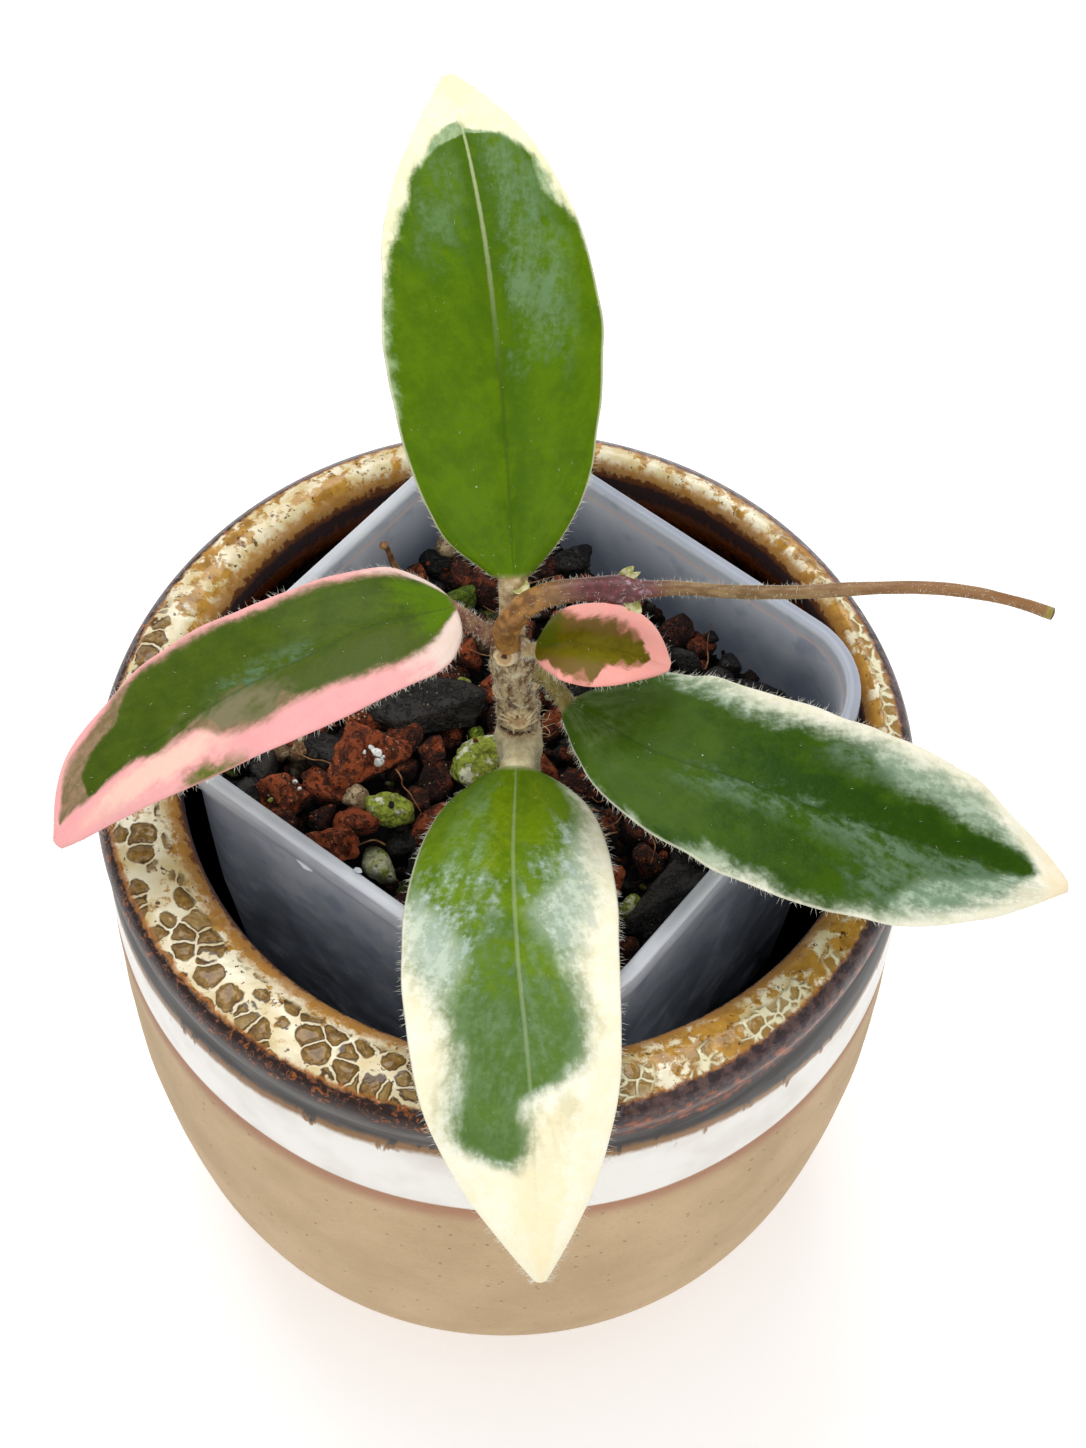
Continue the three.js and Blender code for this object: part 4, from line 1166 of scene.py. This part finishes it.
# %% The back leaf: green with a cream tip
FINISH["leaf_back"] = leaf_finish(
    "green_leaf_cream_tip",
    ([(0, 1.2), (.6, 1.05), (.66, .95), (.7, .87), (.74, .76), (.8, .82), (.84, .7),
      (.86, .5), (.87, .1), (.88, -.1), (1, -.4)],
     [(0, 1.2), (.3, 1.02), (.4, .95), (.6, .95), (.65, .92), (.7, .84), (.75, .78),
      (.8, .77), (.84, .58), (.86, .3), (.87, .05), (.88, -.1), (1, -.4)]),
    ([(0, 1.2), (.6, 1.1), (.7, .92), (.8, .88), (.86, .58), (.88, .1), (.9, -.1), (1, -.4)],
     [(0, 1.2), (.6, 1.0), (.75, .83), (.83, .72), (.88, .5), (.895, .3), (.9, 0), (1, -.4)]),
    [(88, 120, 0), (74, 106, 0), (100, 130, 8)], [(253, 248, 216), (250, 240, 194)],
    [(150, 176, 128), (120, 152, 104)],
    # The first two touches darken the green beside the midrib: painted shade of the fold.
    on_green=[((62, 94, 0), (-.1, .9), (.03, .24), .55, 0),
              ((66, 98, 2), (.4, .9), (-.16, -.03), .6, 0),
              ((62, 98, 14), (.62, .9), (-.9, .9), .5, .4)],
    # The touches on top are painted sheen.
    on_top=[((134, 164, 134), (.44, .88), (.2, .76), .42, .5),
            ((122, 154, 110), (.66, .86), (-.62, -.15), .4, .54)],
    stalk=((218, 202, 164), (178, 150, 108)), line=((62, 88, 6), 0.5),
    soft=0.065, ragged=0.7, rib=((206, 214, 166), .35, .85, .6))

# %% The right leaf: dark green with a silver margin
FINISH["leaf_right"] = leaf_finish(
    "green_leaf_silver_margin",
    ([(0, 1.1), (.28, 1.0), (.33, .9), (.46, .9), (.52, .97), (.6, .95), (.65, .84),
      (.69, .62), (.73, .45), (.8, .36), (.86, .22), (.92, .05), (.935, -.1), (1, -.4)],
     [(0, 1.1), (.08, .98), (.13, .88), (.25, .76), (.38, .68), (.44, .76), (.52, .8),
      (.58, .72), (.63, .52), (.72, .46), (.8, .4), (.88, .38), (.92, .28), (.935, 0),
      (1, -.4)]),
    ([(0, 1.2), (.3, 1.0), (.48, .98), (.6, 1.0), (.7, .9), (.8, .8), (.86, .6), (.9, .3),
      (.93, .05), (.95, -.2), (1, -.4)],
     [(0, 1.2), (.1, 1.04), (.16, .98), (.3, .88), (.4, .8), (.5, .86), (.6, .84), (.7, .8),
      (.8, .74), (.88, .56), (.93, .33), (.95, 0), (1, -.4)]),
    [(56, 86, 0), (40, 70, 0), (70, 98, 18)], [(248, 244, 224), (236, 232, 204)],
    [(158, 180, 156), (108, 134, 100)],
    on_ground=[((250, 222, 180), (.94, 1.1), (-1.1, 1.1), .5, 0),
               ((120, 148, 96), (.2, .34), (.7, 1.2), .8, 0),
               ((158, 174, 138), (.06, .3), (-1.1, -.6), .7, .42)],
    # The first touch darkens the half beside the midrib: painted shade of the fold.
    on_green=[((28, 62, 0), (.38, .9), (-.32, -.02), .7, 0),
              ((72, 98, 16), (-.1, .3), (-.7, .95), .45, 0)],
    on_top=[((122, 150, 122), (.25, .66), (.04, .28), .5, .52),
            ((112, 140, 112), (.6, .92), (.1, .85), .6, .44),
            ((150, 172, 150), (.5, .9), (-.8, -.45), .4, .5),
            ((130, 150, 98), (-.1, .12), (-.9, .7), .4, .48)],
    stalk=((166, 152, 96), (126, 110, 60)), line=((34, 54, 10), 0.3),
    soft=0.12, ragged=0.85)

# %% The left leaf: green with a pink margin
FINISH["leaf_left"] = leaf_finish(
    "green_leaf_pink_margin",
    ([(0, .55), (.03, .7), (.1, .75), (.2, .82), (.4, .83), (.46, .87), (.6, .86), (.68, .9),
      (.72, .82), (.75, .62), (.82, .52), (.86, .38), (.875, .1), (.885, -.1), (1, -.5)],
     [(0, .15), (.04, .36), (.08, .52), (.15, .62), (.25, .55), (.35, .5), (.38, .46),
      (.4, .32), (.42, .48), (.45, .56), (.5, .5), (.55, .4), (.57, .14), (.62, .12),
      (.68, .2), (.72, .16), (.74, .06), (.87, .03), (.89, -.2), (1, -.5)]),
    ([(0, .6), (.1, .83), (.2, .9), (.4, .9), (.7, .94), (.76, .92), (.82, .82), (.9, .78),
      (.93, .62), (.962, .5), (.975, -.3), (1, -.5)],
     [(0, .2), (.05, .45), (.1, .6), (.15, .68), (.25, .62), (.4, .54), (.46, .62),
      (.56, .48), (.6, .22), (.7, .26), (.75, .1), (.85, .08), (.9, -.05), (.95, -.3),
      (.98, -.5), (1, -.5)]),
    [(74, 94, 16), (62, 82, 16), (88, 106, 38)], [(246, 170, 170), (243, 180, 176)],
    [(140, 120, 86), (102, 100, 54)],
    on_ground=[((236, 218, 204), (-.1, .12), (-1.1, 1.1), .9, 0),
               ((249, 210, 190), (.56, .9), (-.72, -.28), .8, 0),
               ((240, 162, 162), (.15, .6), (-.8, -.5), .4, .45)],
    on_green=[((88, 122, 2), (-.1, .1), (-.45, .7), .8, 0),
              ((76, 90, 32), (.1, .42), (-.65, -.08), .8, 0),
              ((130, 122, 92), (.43, .6), (-.75, -.02), .95, 0)],
    on_top=[((112, 144, 118), (.34, .54), (.02, .22), .6, .52),
            ((84, 106, 16), (.53, .66), (-1.5, -.86), .95, 0)],
    stalk=((156, 126, 96), (112, 72, 64)), line=((50, 72, 26), 0.35),
    soft=0.06, ragged=0.5)

# %% The young leaf: olive on pink
FINISH["leaf_small"] = leaf_finish(
    "young_leaf_pink_margin",
    ([(0, .9), (.1, .6), (.18, .8), (.3, .8), (.36, .88), (.43, .72), (.5, .92), (.54, .8),
      (.56, .5), (.62, .54), (.67, .36), (.72, .5), (.76, .26), (.81, .3), (.85, 0),
      (.9, -.3), (1, -.5)],
     [(0, 1.1), (.12, 1.0), (.2, .66), (.3, .52), (.4, .6), (.47, .5), (.55, .58), (.61, .38),
      (.66, .5), (.71, .22), (.76, .34), (.8, .1), (.83, .14), (.87, -.2), (1, -.5)]),
    ([(0, .95), (.1, .66), (.3, .84), (.5, .95), (.57, .56), (.8, .5), (.87, -.2), (1, -.5)],
     [(0, 1.2), (.15, 1.0), (.3, .56), (.55, .62), (.75, .38), (.87, -.2), (1, -.5)]),
    [(110, 100, 0), (92, 80, 2), (124, 114, 14)], [(246, 162, 152), (238, 172, 160)],
    [(166, 114, 84), (146, 104, 66)],
    on_green=[((120, 94, 48), (.08, .56), (.42, 1.1), .8, 0),
              ((122, 92, 46), (.2, .76), (-.75, -.28), .75, 0),
              ((70, 90, 0), (-.1, .16), (-1.2, .1), .7, 0)],
    stalk=((206, 186, 140), (180, 150, 110)), line=((90, 96, 0), 0.3),
    soft=0.07, ragged=1.1)
print("finishes of", len(FINISH), "leaves")

# %% Leaves with their hairs
SLOTS = {part["node"]: part["material_slot"] for part in frame["record"]["subparts"]}
for number, (name, plan) in enumerate(LEAVES.items()):
    rng = np.random.default_rng(300 + number)
    rings, marks, (right, upper, ahead, length) = leaf_shape(plan, 40 + number)
    tube(name + "_blade", rings, FINISH[name], [name], marks)
    blade = rings[STALK_RINGS:]
    roots, ways, sizes = [], [], []
    for column, sign in ((0, -1), (len(UPPER) - 1, 1)):
        count = int(length * 3)
        ring = rng.uniform(1, BLADE_RINGS - 2, count)
        low = ring.astype(int)
        share = (ring - low)[:, None]
        roots.append(blade[low, column] * (1 - share) + blade[low + 1, column] * share)
        ways.append(sign * right[low] + rng.normal(0, 0.35, (count, 3)) + ahead[low] * 0.3)
        sizes.append(rng.uniform(0.5, 1.5, count))
    count = int(length * 2.2)
    ring = (rng.beta(1.1, 1.1, count) * (BLADE_RINGS - 4)).astype(int) + 2
    column = rng.integers(1, len(SECTION) - 1, count)
    roots.append(blade[ring, column])
    ways.append(upper[ring] * SIDE[column][:, None] * 0.8 + rng.normal(0, 0.5, (count, 3))
                + ahead[ring] * 0.6)
    sizes.append(rng.uniform(0.25, 0.7, count))
    hairs(name + "_hairs", *map(np.concatenate, (roots, ways, sizes)), SLOTS[name], rng)

# %% [markdown]
# ## Stem
# Old hoya stems turn corky: pale ridges run along them, rings and scars mark where leaves
# sat. The rod is swollen at its two nodes, and the scars are small craters pushed into it.

# %% Stem shape
RING = 122.6            # height of the dark ring round the stem
FRONT_SCAR = (1.6, -0.3, 127.0)
STEM = [(*STEM_AT, GRIT - 22, 2.4), (2.3, 0.5, TOP - 10, 2.8), (2, 0.9, TOP - 2, 3),
        (1.7, 2, TOP + 4, 3.4), (1.5, 2.8, TOP + 10, 3), (1.2, 3, TOP + 17, 3.2),
        (0.7, 3, TOP + 24, 3.3), (0.2, 2.7, TOP + 29, 2.6)]
SCARS = [((-0.6, 0.4, 142.6), 1.25), (FRONT_SCAR, 1.6), ((-1.6, 1.6, 131.5), 0.9),
         ((4.2, 1.5, 134.0), 0.9)]


def bark(rows):
    """Ridges, the groove of the ring with a swelling above it, and a crater for each scar."""
    push = (0.22 * lumps(rows * [1, 1, 0.28], 0.9, 4) + 0.12 * lumps(rows, 0.5, 6)
            + 0.25 * lumps(rows, 3, 9))
    push = push - 0.45 * np.exp(-((rows[..., 2] - RING) / 0.5) ** 2)
    push = push + 0.35 * np.exp(-((rows[..., 2] - (RING + 2)) / 1.4) ** 2)
    for centre, size in SCARS:
        gap = np.linalg.norm(rows - np.array(centre), axis=-1) / size
        push = push + 0.55 * np.exp(-((gap - 1) / 0.28) ** 2) - 0.5 * np.exp(-(gap / 0.55) ** 2)
    return push


# %% Bark finish
corky = start("corky_bark")
at = spot()
height = at.axis("z")
ridges = clouds(spot((1, 1, 3.5)), 0.9, 4, 0.65)
brown = clouds(at, 2.2, 4, 0.7).step(0.52, 0.62) * height.step(122, 125)
# The foot of the stem is painted paler: partly its paler cork, partly painted light against the
# shade under the leaves.
pale_lit_foot = clouds(at, 1.5, 3).step(0.3, 0.7).pick((244, 232, 190), (220, 204, 156))
ring_line = (height + (clouds(at, 1.5, 2) - 0.5) * 1.6).near(RING, 0.75, 0.3)
under_ring = height.step(RING - 0.2, RING - 0.7) * height.step(RING - 1.7, RING - 1)
layers = [(clouds(at, 2.4, 3).step(0.5, 0.66) * 0.7, (232, 222, 196)),
          (brown * 0.85, (92, 58, 36)), (height.step(124, 121) * 0.9, pale_lit_foot),
          (ring_line * 0.95, (34, 18, 12)), (under_ring * 0.5, (140, 92, 48))]
for centre, size in SCARS:
    gap = Wire.add("ShaderNodeVectorMath", {"operation": "DISTANCE"}, {0: at, 1: centre}, out=1)
    gap = gap + (clouds(at, 0.6, 2) - 0.5) * 0.5
    layers += [(gap.step(size * 1.5, size * 1.1) * 0.9, (236, 212, 168)),
               (gap.step(size * 0.95, size * 0.8) * 0.6, (176, 130, 84)),
               (gap.step(size * 0.5, size * 0.34) * 0.95, (62, 32, 22))]
close(corky, coats(ridges.step(0.30, 0.66).pick((104, 72, 46), (210, 188, 150)), *layers),
      0.78 + ridges * 0.15, ridges + clouds(at, 0.35, 2) * 0.4, 0.45, Specular_IOR_Level=0.25)
stem_shape = rod(STEM, 200, 72, bark)
rod_piece("corky_stem", stem_shape, corky, ["stem"])

# %% Frayed fibres round the front scar
STRAW = two_tone("straw_fibre", (206, 176, 130), (238, 218, 178), 1.2, 2, 0.6)
SCAR_X, _, SCAR_Z = FRONT_SCAR
BEND = 3.75             # radius of the round surface that the fibres hug
rays = []
for a in np.linspace(0.2, 2 * math.pi + 0.2, 11, endpoint=False):
    ray = []
    for k, away in enumerate([1.3, 2.0, 2.9 + 0.6 * math.sin(5 * a)]):
        x = SCAR_X + away * math.cos(a + 0.16 * k)
        y = 2.9 - math.sqrt(max(BEND ** 2 - (x - 1.3) ** 2, 1))
        ray.append((x, y, SCAR_Z + away * math.sin(a + 0.16 * k), 0.22 - 0.06 * k))
    rays.append(ray)
bundle("scar_fibres", [rod(ray, 10, 6)[0] for ray in rays], STRAW)

# %% [markdown]
# ## Runner
# A long bare shoot leaves the top of the stem, bends over and reaches to the right. It is
# olive-brown and hairy, with a swollen purple node that carries two small bud scales.

# %% Runner shape
RUNNER = [(0.2, 2.7, TOP + 28, 1.9), (-0.3, 2.2, TOP + 33, 1.9), (1.8, 2.9, TOP + 37.5, 1.9),
          (5.2, 3.9, TOP + 39.6, 1.8), (11.5, 4, TOP + 41.2, 1.65), (16.2, 3.3, TOP + 42.1, 2.1),
          (19, 2.8, TOP + 43, 1.3), (24, 2.1, TOP + 44.5, 1.05), (31, 0.6, TOP + 46, 1),
          (40.6, -0.7, TOP + 48, 1), (50, -1.3, TOP + 50, 0.95), (58.3, -1.8, TOP + 51, 0.9),
          (65.2, -2.7, TOP + 51, 0.85), (70.8, -3.5, TOP + 50, 0.85), (75.4, -4.2, TOP + 48.4, 0.9)]
runner_shape = rod(
    RUNNER, 240, 24, lambda rows: 0.03 * lumps(rows, 1.5, 21) + 0.08 * lumps(rows, 6, 22))
print("runner rings", len(runner_shape[0]))

# %% Runner finish
olive = start("olive_brown_shoot")
at, along = spot(), mark("along")
bend = clouds(at, 1.6, 3).step(0.35, 0.65).pick((168, 120, 60), (112, 74, 36))
purple = clouds(at, 1.0, 3).step(0.35, 0.65).pick((108, 50, 62), (78, 36, 44))
bloom = clouds(at, 1.1, 3).step(0.50, 0.70) * along.step(0.27, 0.30) * along.step(0.36, 0.33)
shoot = coats(clouds(spot((4, 1, 1)), 1.2, 3).step(0.3, 0.7).pick((112, 82, 44), (150, 124, 84)),
              (along.step(0.24, 0.12), bend), (along.step(0.5, 0.85) * 0.6, (150, 100, 58)),
              (along.step(0.15, 0.25) * along.step(0.40, 0.33) * 0.9, purple),
              (bloom * 0.45, (214, 190, 200)), (along.step(0.982, 0.988), (150, 132, 62)),
              (along.step(0.996, 0.999) * 0.8, (74, 46, 26)))
close(olive, shoot, 0.36 + clouds(at, 0.8, 2) * 0.15, clouds(spot((5, 1, 1)), 0.7, 2), 0.08,
      Specular_IOR_Level=0.35)
rod_piece("hairy_runner", runner_shape, olive, ["runner"])

# %% Hairs on the runner, the stalks and the stem
def rod_hairs(name, shape, count, sizes, slot, rng, low, high=1.0):
    """Hairs on a rod between two shares of its length."""
    rows, _, outs = shape
    ring = rng.integers(int(low * (len(rows) - 1)), int(high * (len(rows) - 1)) + 1, count)
    column = rng.integers(0, rows.shape[1], count)
    ways = outs[ring, column] + rng.normal(0, 0.35, (count, 3))
    hairs(name, rows[ring, column], ways, rng.uniform(*sizes, count), slot, rng)


rng = np.random.default_rng(77)
rod_hairs("runner_hairs", runner_shape, 1100, (0.3, 1.0), "shoot", rng, 0.12)
rod_hairs("stem_hairs", stem_shape, 700, (0.3, 0.8), "bark", rng, 0.42, 0.94)
for name, plan in LEAVES.items():
    stalk = rod([(*p, plan["thick"]) for p in plan["stalk"]], 40, 24)
    rod_hairs(name + "_stalk_hairs", stalk, 260, (0.4, 1.0), "shoot", rng, 0.2)

# %% [markdown]
# ## Small things
# Small bud scales sit at the runner's node, a papery flake at the back leaf's base and two
# flakes on the pot's lip, threads curl off the stem, and fine roots and a dry twig lie in the
# grit. They are small, but they are what makes a plant look grown and not made.

# %% Scales and flakes
def scale_shape(base, tip, normal, width, seed):
    """A small pointed, cupped scale between two points."""
    base, tip, normal = (np.array(v, float) for v in (base, tip, normal))
    ahead = tip - base
    side = np.cross(ahead, normal)
    side /= np.linalg.norm(side)
    lift = np.cross(side, ahead) / np.linalg.norm(ahead)
    t = np.linspace(0, 1, 16)[:, None]
    u = np.concatenate([np.linspace(-1, 1, 11), np.linspace(1, -1, 11)])
    face = np.repeat([1, -1], 11)
    wide = width * np.sin(math.pi * np.clip(t * 0.86 + 0.12, 0, 1)) ** 0.8
    cup = 0.35 * wide * u ** 2 + 0.1 * face * np.sqrt(np.clip(1 - u ** 2, 0.02, 1)) + 0.3 * t * t
    points = base + t[..., None] * ahead + (u * wide)[..., None] * side + cup[..., None] * lift
    return points + 0.1 * lumps(points, 0.8, seed)[..., None] * lift


def scales(rows, material, seed):
    """A piece for each row of a name and its measures."""
    for number, (name, *measures) in enumerate(rows):
        tube(name, scale_shape(*measures, seed + number), material)


BUD_GREEN = two_tone("bud_scale", (222, 216, 168), (158, 160, 84), 1.1, 3, 0.6, 0.5, (0.35, 0.65))
scales([("bud_scale_upper", (15.6, 4.6, TOP + 43.0), (17.6, 5.6, TOP + 44.8), (0, -1, 1), 0.75),
        ("bud_scale_upper_small", (16.2, 4.3, TOP + 43.2), (18.6, 4.6, TOP + 44.9), (0, -1, 1),
         0.5),
        ("bud_scale_lower", (16.8, 1.9, TOP + 41.6), (18.6, 0.3, TOP + 40.6), (0, 0, 1), 0.95),
        ("bud_scale_lower_small", (16.2, 1.8, TOP + 41.8), (16.8, 0.2, TOP + 41.2), (1, 0, 1), 0.5),
        ("papery_flake", (0.9, 8.6, 149.4), (3.0, 6.0, 150.6), (0, -0.3, 1), 1.3)],
       BUD_GREEN, 0)
scales([("lip_flake_left", (-30.9, -18.2, 117.0), (-28.3, -20.4, 116.6), (-1, -1, 0.6), 0.8),
        ("lip_flake_right", (-22.0, -23.2, 122.2), (-20.9, -24.1, 122.3), (0, 0, 1), 0.45)],
       milky, 20)

# %% Threads, roots and the twig
DRY = two_tone("dry_brown_fibre", (96, 52, 24), (168, 122, 78), 1.5, 3, 0.7, 0.6)
TWIG = [(-19.4, 34.6, TOP + 7, 0.7), (-18.9, 34.8, TOP + 5.8, 0.45), (-18.4, 34.8, TOP + 3.5, 0.5),
        (-17, 34.2, TOP - 0.5, 0.55), (-15, 33.4, TOP - 4.5, 0.6), (-13.4, 32, TOP - 12, 0.5)]
twig_shape = rod(TWIG, 60, 12, lambda rows: 0.08 * lumps(rows, 0.9, 33))
rod_piece("dry_twig_fine", twig_shape, DRY, ["dry_twig"])


def threads(name, starts, rng, reach, thick, lift, material):
    """Thin curling threads that wander away from their starts."""
    tubes = []
    for begin in starts:
        here, way = np.array(begin, float), rng.normal(size=3)
        way[2] = lift
        line = [(*here, thick)]
        for k in range(5):
            way = way + rng.normal(0, 0.7, 3)
            way[2] = way[2] * 0.5 + lift * 0.5
            here = here + way / np.linalg.norm(way) * reach / 5
            line.append((*here, thick * (1 - 0.13 * (k + 1))))
        tubes.append(rod(line, 18, 5)[0])
    bundle(name, tubes, material)


rng = np.random.default_rng(5)
ring_starts = [(2 + 3.2 * math.cos(a), 1.6 + 3.2 * math.sin(a), RING + rng.uniform(-0.5, 0.5))
               for a in rng.uniform(-1.2, 0.9, 16)]
threads("stem_threads", ring_starts, rng, 2.5, 0.07, 0.0, STRAW)
root_starts = [(*square_place(*rng.uniform(-30, 30, 2)), GRIT + rng.uniform(1.5, 3.5))
               for _ in range(46)]
threads("grit_roots", root_starts, rng, 9, 0.16, 0.02, DRY)

# %% [markdown]
# ## Floor
# The photo's ground is a white sweep, so the floor is a wide plain sheet with a trace of
# grey mottling and no edge in view.

# %% Floor
sweep = start("white_sweep")
close(sweep, clouds(spot(), 300, 2).step(0.2, 0.8).pick((246, 246, 247), (250, 250, 251)), 0.85,
      Emission_Color=(1, 1, 1, 1), Emission_Strength=0.30, Specular_IOR_Level=0.1)
floor_mesh = bpy.data.meshes.new("floor")
floor_mesh.from_pydata([(-4, -4, 0), (4, -4, 0), (4, 4, 0), (-4, 4, 0)], [], [(0, 1, 2, 3)])
floor_mesh.materials.append(sweep)
floor = bpy.data.objects.new("floor", floor_mesh)
floor.location.z = -0.0002
scene.collection.objects.link(floor)
